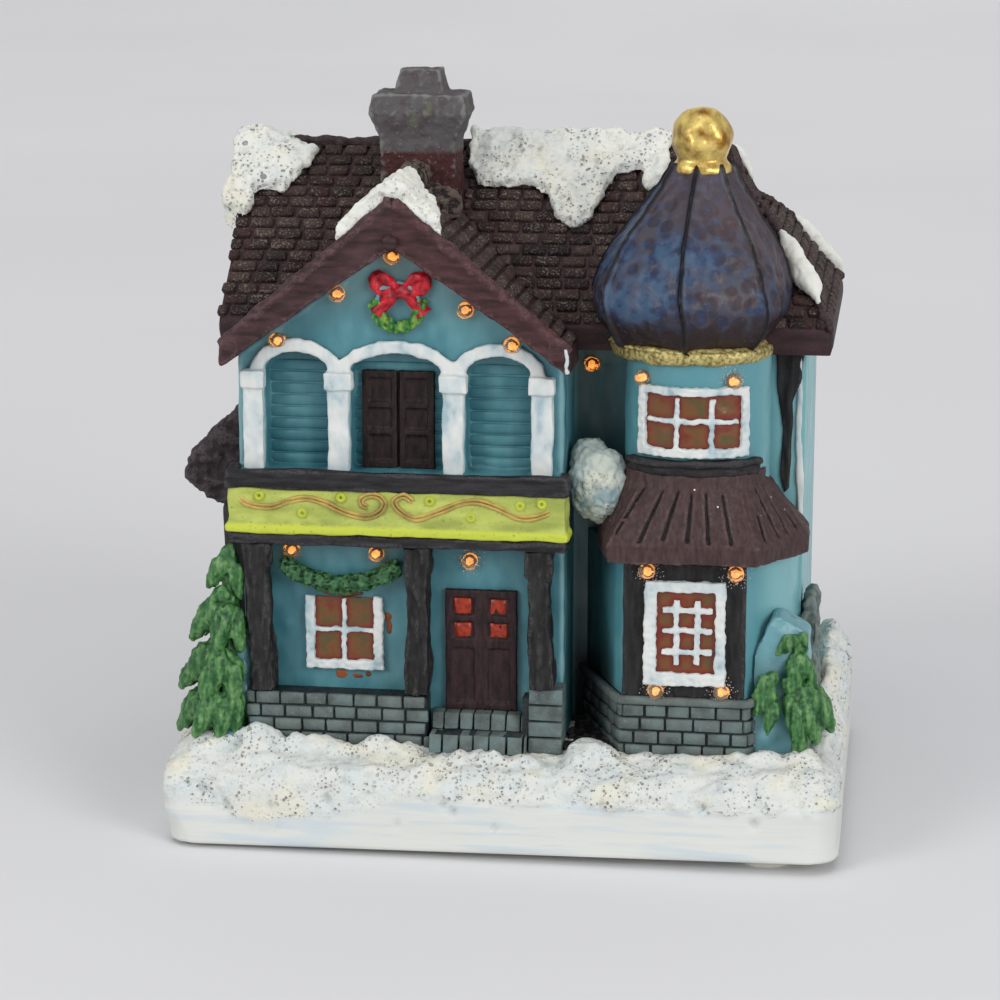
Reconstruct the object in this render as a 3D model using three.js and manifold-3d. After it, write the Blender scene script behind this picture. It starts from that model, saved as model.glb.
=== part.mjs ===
// Christmas village house: a lit resin house on a snow base, with its battery box in the underside.
// Millimetres, +Z up. The feet stand on Z 0 and the street front faces -Y.
import * as THREE from "three";
import { mergeVertices } from "three/addons/utils/BufferGeometryUtils.js";
import { ConvexGeometry } from "three/addons/geometries/ConvexGeometry.js";
import Module from "manifold-3d";

const wasm = await Module();
wasm.setup();

// Clearances
const gap = 0.3; // between pieces shaped to each other
const pinGap = 0.2; // round the battery door's hinge pins
const far = 200; // reach of cutting blocks, past every piece
const drawingShift = 1.25; // puts the middle of the whole object over the origin

// Feet and bottom cover
const footHeight = 2.5;
const footRadius = 5;
const footInsetX = 12;
const footInsetY = 8.5;
const coverThickness = 2.4;
const coverInset = 2.6;

// Snow base
const baseLeft = -57;
const baseRight = 53.5;
const baseFront = -42;
const baseBack = 42;
const baseTop = 16;
const baseCorner = 5;
const baseWall = 6;
const deckThickness = 3;
const shoulderHeight = 6;
const shoulderFront = 8;
const shoulderSide = 3.5;

// House walls
const houseLeft = -46;
const houseRight = 45.5;
const houseFront = -14;
const houseBack = 34;
const wallThickness = 3.2;
const wingRight = 7.5;
const wingFront = -28.5;
const wingWall = 5.5;
const porchSetback = 1.5;
const nicheDepth = 3;

// Main roof
const eaveFront = 7;
const eaveBack = 2;
const eaveVerge = 5;
const eaveHip = 4.5;
const eaveHeight = 85.4;
const roofRise = 26.1;
const roofThickness = 4.9;
const hipRun = 18;

// Gable roof over the wing
const gableTip = 83;
const gableApex = 106.5;
const gableUnderTip = 79;
const gableUnderApex = 99.5;
const gableOverhangLeft = 2;
const gableOverhangRight = 1.5;
const gableOverhangFront = 4.5;
const atticDrop = 2;

// Chimney
const chimneyX = -19.5;
const chimneyY = -3.5;
const chimneyBodyWidth = 12.6;
const chimneyBodyDepth = 8.4;
const chimneyCapWidth = 16.4;
const chimneyCapDepth = 11;
const chimneyNeckHeight = 113;
const chimneyCapHeight = 120.6;
const chimneyTopHeight = 124.6;
const chimneyCapBevel = 1.2;
const chimneyPotWidth = 8.8;
const chimneyPotDepth = 6.4;
const chimneyPotTaper = 2.2;

// Tower, dome and finial
const towerX = 28.3;
const towerY = -19;
const towerRadius = 11.8;
const towerWall = 2.6;
const towerTop = 79;
const ringRadius = 13.6;
const ringHeight = 3.6;
const domeRadius = 15.9;
const domeHeight = 27.9;
const collarRadius = 4.4;
const finialRadius = 5.1;
const finialSink = 0.5;
const finialCollar = 1.4;
const ringBulge = 0.9;
const roundSides = 32; // sides of the tower's round pieces

// Bay under the tower
const bayFront = -31;
const bayCeiling = 1.2;
const bayFrontLeft = 17.5;
const bayFrontRight = 37.5;
const bayBackLeft = 9.9;
const bayCornerX = 44;
const bayCornerY = -21;
const bayTop = 49.6;
const bayRoofRise = 9.3;
const bayEaveDrop = 3.4;
const bayEaveFront = -35;
const bayEaveLeft = 15.2;
const bayEaveRight = 39.3;
const bayEaveSideY = -23.8;
const bayEaveSideLeft = 12.5;
const bayEaveSideRight = 47;
const bayEaveBackLeft = 11.5;
const bayEaveBackRight = 46.6;
const baySlant = 0.45; // how far a bay corner shifts along X for each millimetre outwards
const bandHeight = 3.1;
const bandThickness = 1.6;
const bandBulge = 0.5;
const bandEnd = 7.4; // how far in front of the tower's axis the band stops

// Stone courses and steps
const plinthTop = 24.6;
const plinthFront = -32.5;
const plinthRight = -14;
const plinthInset = 1.4;
const bayPlinthTop = 26;
const bayPlinthOut = 0.8;
const stepsRight = 2.2;
const stepHeight = 21.4;
const lowStepHeight = 18.7;
const stepFront = -31;
const lowStepFront = -34.5;
const stepBlockTop = 26.4;
const stepBlockRight = 7.8;

// Balcony
const balconyBottom = 51.7;
const balconyFloor = 61.5;
const balconyDepth = 3.8;
const panelThickness = 1.4;
const panelTop = 59.1;
const lipHeight = 1.3;
const lipOut = 0.5;
const railTop = 62.2;
const railOut = 0.3;
const balconyReach = 0.9;
const beamHeight = 2;
const beamThin = 0.2;
const bracketHeight = 5;
const postInset = 0.2;
const posts = {
  left: { top: [-45.2, -40.4], foot: [-43.9, -40.1] },
  middle: { top: [-18.3, -13.7], foot: [-18.1, -14.2] },
  right: { top: [1.6, 5.8], foot: [2.4, 6.4] },
};

// Arcade on the gable wall
const columnHeight = 13.5;
const capitalHeight = 2.8;
const archRise = 3.1;
const archBand = 2.2;
const columnOut = 1.8;
const capitalOut = 2.3;
const archOut = 1.2;
const columns = [
  { x: -43.2, width: 3.4, capital: 4 },
  { x: -29.1, width: 3.5, capital: 4.6 },
  { x: -10.3, width: 3.5, capital: 4.6 },
  { x: 4.1, width: 3.5, capital: 4.2 },
];

// Doors and windows
const leafThickness = 1.1;
const leafRecess = 0.4;
const leafEdge = 1.1;
const leafGroove = 0.5;
const upperDoorLeft = -25.8;
const upperDoorRight = -13.9;
const upperDoorHeight = 16.2;
const frontDoorLeft = -12;
const frontDoorRight = -0.2;
const frontDoorHeight = 20.4;
const frameThickness = 1.2;
const paneRecess = 0.7;
const porchWindow = {
  left: -35.4, right: -22.4, bottom: 27.5, top: 40.3, border: 1.4, bar: 0.9, across: 2, up: 2 };
const bayWindow = {
  left: 21.1, right: 34.3, bottom: 28.3, top: 45.6, border: 1.6, bar: 0.9, across: 3, up: 4 };
const towerWindow = {
  left: 19.9, right: 37.3, bottom: 65.7, top: 77.2, border: 1.3, bar: 0.8, across: 3, up: 2 };
const surroundThickness = 0.8;
const surroundTop = 48.6;

// Left side bay with its own small roof
const sideBayLeft = -50.8;
const sideBayFront = -20;
const sideBayBack = 10;
const leanBottom = 53.4;
const leanTop = 71;
const leanLeft = -56.9;
const leanOverhang = 2;

// Planting and ornaments
const pineLeft = { x: -50.4, y: -29.6, tip: 48, radius: 6.3 };
const pineRight = { x: 46.4, y: -25.6, tip: 35, radius: 5.6 };
const pineTaper = 0.75;
const pineWaist = 0.5;
const skirtDroop = 0.8;
const garlandRadius = 1.45;
const garlandReach = 9.6;
const garlandSag = 3.4;
const garlandShift = -0.4;
const wreathX = -19.3;
const wreathZ = 88.9;
const wreathRadius = 3.4;
const wreathTube = 0.9;
const bowThickness = 1.4;
const bowRise = 2.4;
const bowShift = 0.4;
const bowDrop = 3.6;
const snowThickness = 2.4;
const snowDrape = 2.6;
const gableSnowExtra = 1.2;
const gableSnowBack = 0.6;
const driftCentre = [13, -21.4, 58.6];
const driftReach = [5.6, 6.6, 6.6];
const bankCentre = [49.9, 9, 15.5];
const bankReach = [3.6, 19, 12.5];

// Battery box, its door and three AAA cells
const cellRadius = 5.25;
const cellLength = 44.5;
const nubRadius = 1.9;
const nubLength = 1;
const cellPitch = 11.7;
const cellGap = 0.4;
const boxWall = 1.2;
const ribThickness = 0.6;
const ribInset = 4;
const wireInset = 4;
const boxCentreX = 10;
const boxCentreY = 10;
const contactThickness = 0.4;
const contactBump = 1.2;
const contactWidth = 8;
const doorThickness = 1.6;
const barrelRadius = 1;
const pinRadius = 0.5;
const pinLength = 1.5;
const tabLength = 7.5;
const tabWidth = 8;
const gripWidth = 1;
const gripLength = 12;
const gripDepth = 0.4;
const gripInset = 9;
const screwRadius = 1;
const screwHeadRadius = 2;
const screwHeadHeight = 0.9;
const screwLength = 5;
const driveLength = 2.4;
const driveWidth = 0.5;
const bossRadius = 2.4;
const bossHeight = 4.6;

// Lamp, optical fibres, switch and wires
const lampX = -28;
const lampY = 8;
const ledRadius = 2.5;
const ledHeight = 8.6;
const ledSeat = 3.4;
const holderWall = 1.3;
const holderHeight = 18;
const holderGap = 0.35;
const seatLip = 0.8;
const leadReach = 0.7;
const leadWidth = 0.5;
const ferruleHeight = 8;
const strandRadius = 0.5;
const strandHole = 0.85;
const strandOut = 1.6;
const strandSpread = 0.54;
const goldenTurn = 2.4;
const gableLights = [ // along X from the gable's middle, and down from its roof
  [-0.8, 2.1], [-9.8, 1.9], [-19.6, 2.7], [11.1, 3.2], [18.6, 3.4],
];
const porchLights = [[-37.6, 47.5], [-23.5, 47.3], [-8, 46.6]]; // X and Z
const cornerLight = [10.4, 77.4];
const towerLightTurns = [-42, 31]; // degrees round the tower from its front
const towerLightDrop = 1;
const switchX = -30;
const switchY = 26;
const switchLength = 12;
const switchWidth = 6.4;
const switchHeight = 5.5;
const switchTravel = 3;
const knobLength = 2.4;
const knobWidth = 2.2;
const knobOut = 1.3;
const slideLength = 5;
const slideWidth = 3.6;
const slideThickness = 1;
const wireRadius = 0.55;

// Levels and lines that the sizes above settle
const baseBottom = footHeight;
const coverTop = baseBottom + coverThickness;
const roofLeft = houseLeft - eaveVerge;
const roofRight = houseRight + eaveHip;
const roofFront = houseFront - eaveFront;
const roofBack = houseBack + eaveBack;
const roofRidgeY = (roofFront + roofBack) / 2;
const slopeY = roofRise / (roofRidgeY - roofFront);
const slopeX = roofRise / hipRun;
const gableLeft = houseLeft - gableOverhangLeft;
const gableRight = wingRight + gableOverhangRight;
const gableX = (gableLeft + gableRight) / 2;
const gableFront = wingFront - gableOverhangFront;
const porchFront = wingFront + porchSetback;
const balconyFront = wingFront - balconyDepth;
const beamBottom = balconyBottom - beamHeight;
const springHeight = balconyFloor + columnHeight + capitalHeight;
const bandBottom = bayTop + bayEaveDrop + bayRoofRise;
const domeBottom = towerTop + ringHeight;
const domeTop = domeBottom + domeHeight;

// Finishes
const finish = (color, roughness, metalness = 0) =>
  new THREE.MeshStandardMaterial({ color, roughness, metalness });
const snowWhite = finish(0xe9e8de, 0.75);
const wallBlue = finish(0x4f9aa8, 0.45);
const shingleBrown = finish(0x2e1f20, 0.7);
const boardMaroon = finish(0x3a2024, 0.6);
const stoneGrey = finish(0x4d5a5c, 0.75);
const trimWhite = finish(0xdfe3e4, 0.6);
const trimBlack = finish(0x1d1c1e, 0.5);
const doorBrown = finish(0x2b1716, 0.45);
const domeBlue = finish(0x2d3350, 0.35, 0.2);
const goldPaint = finish(0xd9a52b, 0.25, 0.9);
const panelGreen = finish(0xb4c44e, 0.5);
const leafGreen = finish(0x1f7a33, 0.55);
const ribbonRed = finish(0xb0142a, 0.45);
const coverPlastic = finish(0xd8d4c8, 0.5);
const boxPlastic = finish(0x23242a, 0.5);
const rubber = finish(0xd9d6cc, 0.8);
const cellWrap = finish(0x2f6f8f, 0.3);
const springSteel = finish(0xb9bcc2, 0.3, 1);
const ledClear = finish(0xf2e7c9, 0.1);
const fibreClear = finish(0xffd9a0, 0.1);
const wireRedCoat = finish(0xb3201c, 0.5);
const wireBlackCoat = finish(0x151515, 0.5);

// A closed three.js geometry as a solid that can be joined and cut
function solid(geometry) {
  const bare = geometry.clone();
  bare.deleteAttribute("normal");
  bare.deleteAttribute("uv");
  const merged = mergeVertices(bare, 1e-4);
  const vertProperties = merged.attributes.position.array;
  const triVerts = new Uint32Array(merged.index.array);
  return new wasm.Manifold(new wasm.Mesh({ numProp: 3, vertProperties, triVerts }));
}

// The solid back as a geometry with flat faces
function geometryOf(shape) {
  const { vertProperties, triVerts } = shape.getMesh();
  const indexed = new THREE.BufferGeometry();
  indexed.setAttribute("position", new THREE.BufferAttribute(vertProperties, 3));
  indexed.setIndex(new THREE.BufferAttribute(triVerts, 1));
  const flat = indexed.toNonIndexed();
  flat.computeVertexNormals();
  return flat;
}

function joined(shapes) {
  return shapes.reduce((whole, shape) => whole.add(shape));
}

function cut(shape, tools) {
  return tools.reduce((rest, tool) => rest.subtract(tool), shape);
}

function block(x0, x1, y0, y1, z0, z1) {
  const box = new THREE.BoxGeometry(x1 - x0, y1 - y0, z1 - z0);
  box.translate((x0 + x1) / 2, (y0 + y1) / 2, (z0 + z1) / 2);
  return solid(box);
}

// A plan outline in X and Y, raised from z0 to z1
function slab(points, z0, z1) {
  const shape = new THREE.Shape(points.map(([x, y]) => new THREE.Vector2(x, y)));
  const raised = new THREE.ExtrudeGeometry(shape, { depth: z1 - z0, bevelEnabled: false });
  raised.translate(0, 0, z0);
  return solid(raised);
}

// A front view outline in X and Z, as thick as y0 to y1
function facade(points, y0, y1) {
  const shape = new THREE.Shape(points.map(([x, z]) => new THREE.Vector2(x, z)));
  const raised = new THREE.ExtrudeGeometry(shape, { depth: y1 - y0, bevelEnabled: false });
  raised.rotateX(Math.PI / 2);
  raised.translate(0, y1, 0);
  return solid(raised);
}

function hull(points) {
  return solid(new ConvexGeometry(points.map((p) => new THREE.Vector3(...p))));
}

// A profile of [radius, z] pairs turned about an upright axis at x, y
function turned(profile, x, y, segments) {
  const points = profile.map(([r, z]) => new THREE.Vector2(r, z));
  const lathe = new THREE.LatheGeometry(points, segments);
  lathe.rotateX(Math.PI / 2);
  lathe.translate(x, y, 0);
  return solid(lathe);
}

function disc(radius, x, y, z0, z1, segments) {
  const cylinder = new THREE.CylinderGeometry(radius, radius, z1 - z0, segments);
  cylinder.rotateX(Math.PI / 2);
  cylinder.translate(x, y, (z0 + z1) / 2);
  return solid(cylinder);
}

// A round tube along a curve, closed at both ends
function tube(curve, radius, sides, steps) {
  const section = new THREE.Shape();
  for (let i = 0; i < sides; i += 1) {
    const angle = (2 * Math.PI * i) / sides;
    const x = radius * Math.cos(angle);
    const y = radius * Math.sin(angle);
    if (i === 0) section.moveTo(x, y);
    else section.lineTo(x, y);
  }
  section.closePath();
  return solid(new THREE.ExtrudeGeometry(section, { steps, extrudePath: curve }));
}

function smoothCurve(points) {
  return new THREE.CatmullRomCurve3(points.map((p) => new THREE.Vector3(...p)));
}

function rod(from, to, radius, sides) {
  const line = new THREE.LineCurve3(new THREE.Vector3(...from), new THREE.Vector3(...to));
  return tube(line, radius, sides, 1);
}

// A rectangle with round corners, as a ring of [x, y] points
function roundedRing(x0, x1, y0, y1, radius, perCorner) {
  const corners = [
    [x1 - radius, y1 - radius, 0],
    [x0 + radius, y1 - radius, 1],
    [x0 + radius, y0 + radius, 2],
    [x1 - radius, y0 + radius, 3],
  ];
  const ring = [];
  for (const [cx, cy, quarter] of corners) {
    for (let i = 0; i <= perCorner; i += 1) {
      const angle = ((quarter + i / perCorner) * Math.PI) / 2;
      ring.push([cx + radius * Math.cos(angle), cy + radius * Math.sin(angle)]);
    }
  }
  return ring;
}

// Everything under the main roof's top, lifted by lift and spread outwards by grow
function underMainRoof(lift, grow) {
  const low = eaveHeight + lift - grow * slopeY;
  const high = eaveHeight + lift + roofRise;
  const left = roofLeft - grow;
  const right = roofRight + (grow * slopeY) / slopeX;
  const front = roofFront - grow;
  const back = roofBack + grow;
  const ridgeEnd = roofRight - hipRun;
  const corners = [[left, front], [right, front], [right, back], [left, back]];
  const floor = -grow - 1;
  return hull([
    ...corners.map(([x, y]) => [x, y, floor]),
    ...corners.map(([x, y]) => [x, y, low]),
    [left, roofRidgeY, high],
    [ridgeEnd, roofRidgeY, high],
  ]);
}

// Everything under a gable line over the wing, from the front board back under the main roof
function underGable(tip, apex, grow) {
  const slope = (apex - tip) / (gableX - gableLeft);
  const low = tip - grow * slope;
  const outline = [
    [gableLeft - grow, -grow - 1],
    [gableRight + grow, -grow - 1],
    [gableRight + grow, low],
    [gableX, apex],
    [gableLeft - grow, low],
  ];
  return facade(outline, gableFront - grow, roofRidgeY);
}

function snowBase() {
  const rings = 4;
  const points = [];
  for (let i = 0; i <= rings; i += 1) {
    const turn = ((i / rings) * Math.PI) / 2;
    const height = baseTop - shoulderHeight * (1 - Math.sin(turn));
    const side = shoulderSide * (1 - Math.cos(turn));
    const front = shoulderFront * (1 - Math.cos(turn));
    const ring = roundedRing(
      baseLeft + side, baseRight - side, baseFront + front, baseBack - side, baseCorner, 5);
    ring.forEach(([x, y]) => points.push([x, y, height]));
  }
  roundedRing(baseLeft, baseRight, baseFront, baseBack, baseCorner, 5)
    .forEach(([x, y]) => points.push([x, y, baseBottom]));
  const rebate = roundedRing(
    baseLeft + coverInset, baseRight - coverInset,
    baseFront + coverInset, baseBack - coverInset, baseCorner - coverInset, 5);
  const cellar = block(
    baseLeft + baseWall, baseRight - baseWall, baseFront + baseWall, baseBack - baseWall,
    0, baseTop - deckThickness);
  const bank = new THREE.SphereGeometry(1, 16, 12);
  bank.scale(...bankReach);
  bank.translate(...bankCentre);
  const beside = solid(bank)
    .subtract(block(-far, houseRight + gap, -far, far, baseTop, far));
  return cut(joined([hull(points), beside]), [slab(rebate, 0, coverTop), cellar, mainRoom()]);
}

// The hollow inside the main block and the wing
function mainRoom() {
  return block(
    houseLeft + wallThickness, houseRight - wallThickness,
    houseFront + wallThickness, houseBack - wallThickness, 0, far);
}

function wingRoom() {
  return block(
    houseLeft + wallThickness, wingRight - wallThickness,
    wingFront + wingWall, houseFront + 2 * wallThickness, 0, far);
}

// Flat topped arch outline between two uprights
function archOutline(left, right, bottom, spring, rise) {
  const middle = (left + right) / 2;
  const half = (right - left) / 2;
  const outline = [[left, bottom], [right, bottom]];
  const steps = 8;
  for (let i = 0; i <= steps; i += 1) {
    const angle = (Math.PI * i) / steps;
    outline.push([middle + half * Math.cos(angle), spring + rise * Math.sin(angle)]);
  }
  return outline;
}

// The three openings between the columns
function archSpans() {
  return columns.slice(1).map((right, i) => {
    const left = columns[i];
    return [left.x + left.width / 2, right.x - right.width / 2];
  });
}

function houseWalls() {
  const ceiling = -roofThickness - gap;
  const main = block(houseLeft, houseRight, houseFront, houseBack, baseTop, far)
    .intersect(underMainRoof(ceiling, 10));
  const overMain = block(-far, far, roofFront - gap, far, 0, far)
    .subtract(underMainRoof(ceiling, 10));
  const wing = block(houseLeft, wingRight, wingFront, houseFront + wallThickness, baseTop, far)
    .intersect(underGable(gableUnderTip - gap, gableUnderApex - gap, 5))
    .subtract(overMain);
  const balcony = block(houseLeft + gap, wingRight - gap, balconyFront, wingFront + 1,
    balconyBottom, balconyFloor);
  const porch = block(houseLeft - 1, wingRight + 1, wingFront - 1, porchFront, 0, balconyBottom);
  const niches = archSpans().map(([left, right]) =>
    facade(archOutline(left, right, balconyFloor, springHeight, archRise),
      wingFront - 10, wingFront + nicheDepth));
  const towerMouth = block(towerX - towerRadius + towerWall, towerX + towerRadius - towerWall,
    houseFront - 1, houseFront + wallThickness + 1, bayPlinthTop, towerTop - 4);
  const shell = cut(joined([main, wing]), [mainRoom(), wingRoom(), porch, towerMouth]);
  return cut(shell.add(balcony), [...niches, ...strandHoles(houseLights())]);
}

function bayOutline(out) {
  const slant = out * baySlant;
  return [
    [bayBackLeft - out, houseFront],
    [bayFrontLeft - out + slant, bayFront - out],
    [bayFrontRight + out - slant, bayFront - out],
    [bayCornerX + out, bayCornerY - slant],
    [houseRight - gap + out, houseFront],
  ];
}

function tower() {
  const rear = block(-far, far, houseFront, far, 0, far);
  const bay = slab(bayOutline(0), bayPlinthTop, bayTop);
  const round = disc(towerRadius, towerX, towerY, bayPlinthTop, towerTop, roundSides);
  const inside = [
    slab([
      [bayFrontLeft + towerWall, houseFront + 1],
      [bayFrontLeft + towerWall, bayFront + towerWall],
      [bayFrontRight - towerWall, bayFront + towerWall],
      [bayCornerX - 2 * towerWall, bayCornerY],
      [bayCornerX - 2 * towerWall, houseFront + 1],
    ], 0, bayTop - bayCeiling),
    disc(towerRadius - towerWall, towerX, towerY, bayPlinthTop - 1, far, 24),
  ];
  return cut(joined([bay, round]).subtract(rear), [...inside, ...strandHoles(towerLights())]);
}

function towerPlinth() {
  return slab(bayOutline(bayPlinthOut), baseTop, bayPlinthTop);
}

// The main roof is open under the gable roof, where the wing's attic runs through
function mainRoof() {
  const attic = block(houseLeft + wallThickness, wingRight - wallThickness,
    roofFront - 1, houseFront + 2 * wallThickness, 0, far)
    .intersect(underGable(gableUnderTip - atticDrop, gableUnderApex - atticDrop, 0));
  return cut(underMainRoof(0, 0), [underMainRoof(-roofThickness, 10), attic]);
}

function gableRoof() {
  return underGable(gableTip, gableApex, 0)
    .subtract(underGable(gableUnderTip, gableUnderApex, 5))
    .subtract(underMainRoof(gap, gap));
}

// The bay roof's body from its eave up to the tower, spread outwards by grow
function baySkirt(grow) {
  const eave = [
    [bayEaveBackLeft - grow, houseFront - gap],
    [bayEaveSideLeft - grow, bayEaveSideY],
    [bayEaveLeft - grow, bayEaveFront - grow],
    [bayEaveRight + grow, bayEaveFront - grow],
    [bayEaveSideRight + grow, bayEaveSideY],
    [bayEaveBackRight + grow, houseFront - gap],
  ];
  const top = [];
  const reach = towerRadius + bandThickness + grow;
  for (let i = 0; i < 16; i += 1) {
    const angle = (2 * Math.PI * i) / 16;
    const y = Math.min(towerY + reach * Math.sin(angle), houseFront - gap);
    top.push([towerX + reach * Math.cos(angle), y, bandBottom + grow]);
  }
  return hull([
    ...eave.map(([x, y]) => [x, y, bayTop - grow]),
    ...eave.map(([x, y]) => [x, y, bayTop + bayEaveDrop + grow]),
    ...top,
  ]);
}

function bayRoof() {
  return baySkirt(0).subtract(disc(towerRadius + gap, towerX, towerY, 0, far, roundSides));
}

function sillBand() {
  const inner = towerRadius + gap;
  const outer = towerRadius + bandThickness;
  const top = bandBottom + bandHeight;
  const ring = turned([
    [inner, bandBottom], [outer, bandBottom], [outer + bandBulge, bandBottom + bandHeight / 2],
    [outer, top], [inner, top], [inner, bandBottom],
  ], towerX, towerY, roundSides);
  return ring.subtract(block(-far, far, towerY - bandEnd, far, 0, far));
}

function domeRing() {
  const top = towerTop + ringHeight;
  const middle = towerTop + ringHeight / 2;
  const disk = turned([
    [0, towerTop], [ringRadius - ringBulge, towerTop], [ringRadius, middle],
    [ringRadius - ringBulge, top], [0, top],
  ], towerX, towerY, roundSides);
  const roofEdge = underMainRoof(gap, gap)
    .subtract(block(-far, far, -far, far, -far, eaveHeight - roofThickness - gap));
  return cut(disk, [roofEdge, block(-far, far, houseFront - gap, far, 0, far)]);
}

// Onion dome with seven gores, a soft crease at each seam
function dome() {
  const profile = [
    [0.775, 0], [0.868, 0.062], [0.975, 0.177], [1, 0.287], [0.93, 0.412],
    [0.786, 0.57], [0.579, 0.727], [0.384, 0.888],
  ];
  const points = [
    [0, domeBottom],
    ...profile.map(([r, z]) => [r * domeRadius, domeBottom + z * domeHeight]),
    [collarRadius, domeTop],
    [0, domeTop],
  ];
  return turned(points, towerX, towerY, 28).subtract(underMainRoof(gap, gap));
}

function finialBall() {
  const ball = new THREE.SphereGeometry(finialRadius, 18, 12);
  ball.rotateX(Math.PI / 2);
  const centre = domeTop + finialRadius - finialSink;
  ball.translate(towerX, towerY, centre);
  const collar = disc(collarRadius, towerX, towerY, domeTop, domeTop + finialCollar, 18);
  return solid(ball).subtract(block(-far, far, -far, far, -far, domeTop)).add(collar);
}

function chimney() {
  const stack = (width, depth, z0, z1) => block(
    chimneyX - width / 2, chimneyX + width / 2, chimneyY - depth / 2, chimneyY + depth / 2, z0, z1);
  const flare = (w0, d0, z0, w1, d1, z1) => {
    const level = (w, d, z) => [[-1, -1], [1, -1], [1, 1], [-1, 1]].map(
      ([sx, sy]) => [chimneyX + (sx * w) / 2, chimneyY + (sy * d) / 2, z]);
    return hull([...level(w0, d0, z0), ...level(w1, d1, z1)]);
  };
  const capMiddle = (chimneyNeckHeight + chimneyCapHeight + chimneyCapBevel) / 2;
  const whole = joined([
    stack(chimneyBodyWidth, chimneyBodyDepth, baseTop, chimneyNeckHeight),
    flare(chimneyBodyWidth, chimneyBodyDepth, chimneyNeckHeight,
      chimneyCapWidth, chimneyCapDepth, capMiddle),
    flare(chimneyCapWidth, chimneyCapDepth, capMiddle,
      chimneyCapWidth - chimneyCapBevel, chimneyCapDepth - chimneyCapBevel, chimneyCapHeight),
    flare(chimneyPotWidth, chimneyPotDepth, chimneyCapHeight - 1,
      chimneyPotWidth - chimneyPotTaper, chimneyPotDepth - chimneyPotTaper, chimneyTopHeight),
  ]);
  return cut(whole, [
    underMainRoof(gap, gap),
    underGable(gableTip + gap, gableApex + gap, gap),
  ]);
}

function leanToRoof() {
  const right = houseLeft;
  const outline = [
    [right, leanBottom], [right, leanTop], [right - 3, leanTop - 2.6],
    [right - 6.5, leanTop - 5.6], [leanLeft + 1.4, leanTop - 8.4], [leanLeft, leanTop - 11.4],
    [leanLeft, leanTop - 13], [leanLeft + 2.2, leanTop - 15.4], [sideBayLeft - 0.6, leanBottom],
  ];
  return facade(outline, sideBayFront - leanOverhang, sideBayBack + leanOverhang);
}

function sideBay() {
  return block(sideBayLeft, houseLeft, sideBayFront, sideBayBack, baseTop, leanBottom);
}

function arcade() {
  const pieces = [];
  for (const { x, width, capital } of columns) {
    const shaftTop = balconyFloor + columnHeight;
    pieces.push(block(x - width / 2, x + width / 2, wingFront - columnOut, wingFront,
      balconyFloor, shaftTop));
    pieces.push(block(x - capital / 2, x + capital / 2, wingFront - capitalOut, wingFront,
      shaftTop, springHeight));
  }
  for (const [left, right] of archSpans()) {
    const outer = archOutline(left - archBand, right + archBand, springHeight, springHeight,
      archRise + archBand);
    const inner = archOutline(left, right, springHeight - 1, springHeight, archRise);
    pieces.push(facade(outer, wingFront - archOut, wingFront)
      .subtract(facade(inner, wingFront - 5, wingFront + 1)));
  }
  const beyond = [
    block(-far, houseLeft, -far, far, 0, far),
    block(wingRight, far, -far, far, 0, far),
    block(-far, far, -far, far, 0, far)
      .subtract(underGable(gableUnderTip - gap, gableUnderApex - gap, 5)),
  ];
  return cut(joined(pieces), [...beyond, ...strandHoles(houseLights())]);
}

// A pair of door leaves with sunk fields: columns of fields by their share of the height
function doorLeaves(left, right, bottom, height, back, rows) {
  const front = back - leafThickness;
  const middle = (left + right) / 2;
  const tools = [block(middle - leafGroove / 2, middle + leafGroove / 2, front - 1,
    front + 2 * leafRecess, bottom, bottom + height + 1)];
  for (const [x0, x1] of [[left, middle], [middle, right]]) {
    for (const [low, high] of rows) {
      tools.push(block(x0 + leafEdge, x1 - leafEdge, front - 1, front + leafRecess,
        bottom + low * height, bottom + high * height));
    }
  }
  return cut(block(left, right, front, back, bottom, bottom + height), tools);
}

function upperDoor() {
  return doorLeaves(upperDoorLeft, upperDoorRight, balconyFloor, upperDoorHeight,
    wingFront + nicheDepth, [[0.07, 0.34], [0.4, 0.62], [0.68, 0.92]]);
}

function frontDoor() {
  return doorLeaves(frontDoorLeft, frontDoorRight, stepHeight, frontDoorHeight,
    porchFront, [[0.06, 0.52], [0.6, 0.74], [0.79, 0.94]]);
}

// Pockets for the panes between a frame and its bars
function panePockets({ left, right, bottom, top, border, bar, across, up }, y0, y1) {
  const width = (right - left - 2 * border - (across - 1) * bar) / across;
  const height = (top - bottom - 2 * border - (up - 1) * bar) / up;
  const pockets = [];
  for (let i = 0; i < across; i += 1) {
    for (let j = 0; j < up; j += 1) {
      const x = left + border + i * (width + bar);
      const z = bottom + border + j * (height + bar);
      pockets.push(block(x, x + width, y0, y1, z, z + height));
    }
  }
  return pockets;
}

function flatWindow(frame, back) {
  const front = back - frameThickness;
  const plate = block(frame.left, frame.right, front, back, frame.bottom, frame.top);
  return cut(plate, panePockets(frame, front - 1, front + paneRecess));
}

function towerWindowFrame() {
  const inner = towerRadius + gap;
  const outer = inner + frameThickness;
  const ring = (r0, r1) => disc(r1, towerX, towerY, towerWindow.bottom, towerWindow.top, roundSides)
    .subtract(disc(r0, towerX, towerY, 0, far, roundSides));
  const sight = block(towerWindow.left, towerWindow.right, -far, towerY, 0, far);
  const pockets = joined(panePockets(towerWindow, -far, towerY));
  return ring(inner, outer).intersect(sight)
    .subtract(ring(outer - paneRecess, outer + 1).intersect(pockets));
}

function baySurround() {
  const plate = block(bayFrontLeft, bayFrontRight, bayFront - surroundThickness, bayFront,
    bayPlinthTop, surroundTop);
  return cut(plate, strandHoles(surroundLights()));
}

function wingPlinth() {
  return block(houseLeft + plinthInset, plinthRight, plinthFront, porchFront, baseTop,
    plinthTop);
}

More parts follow.
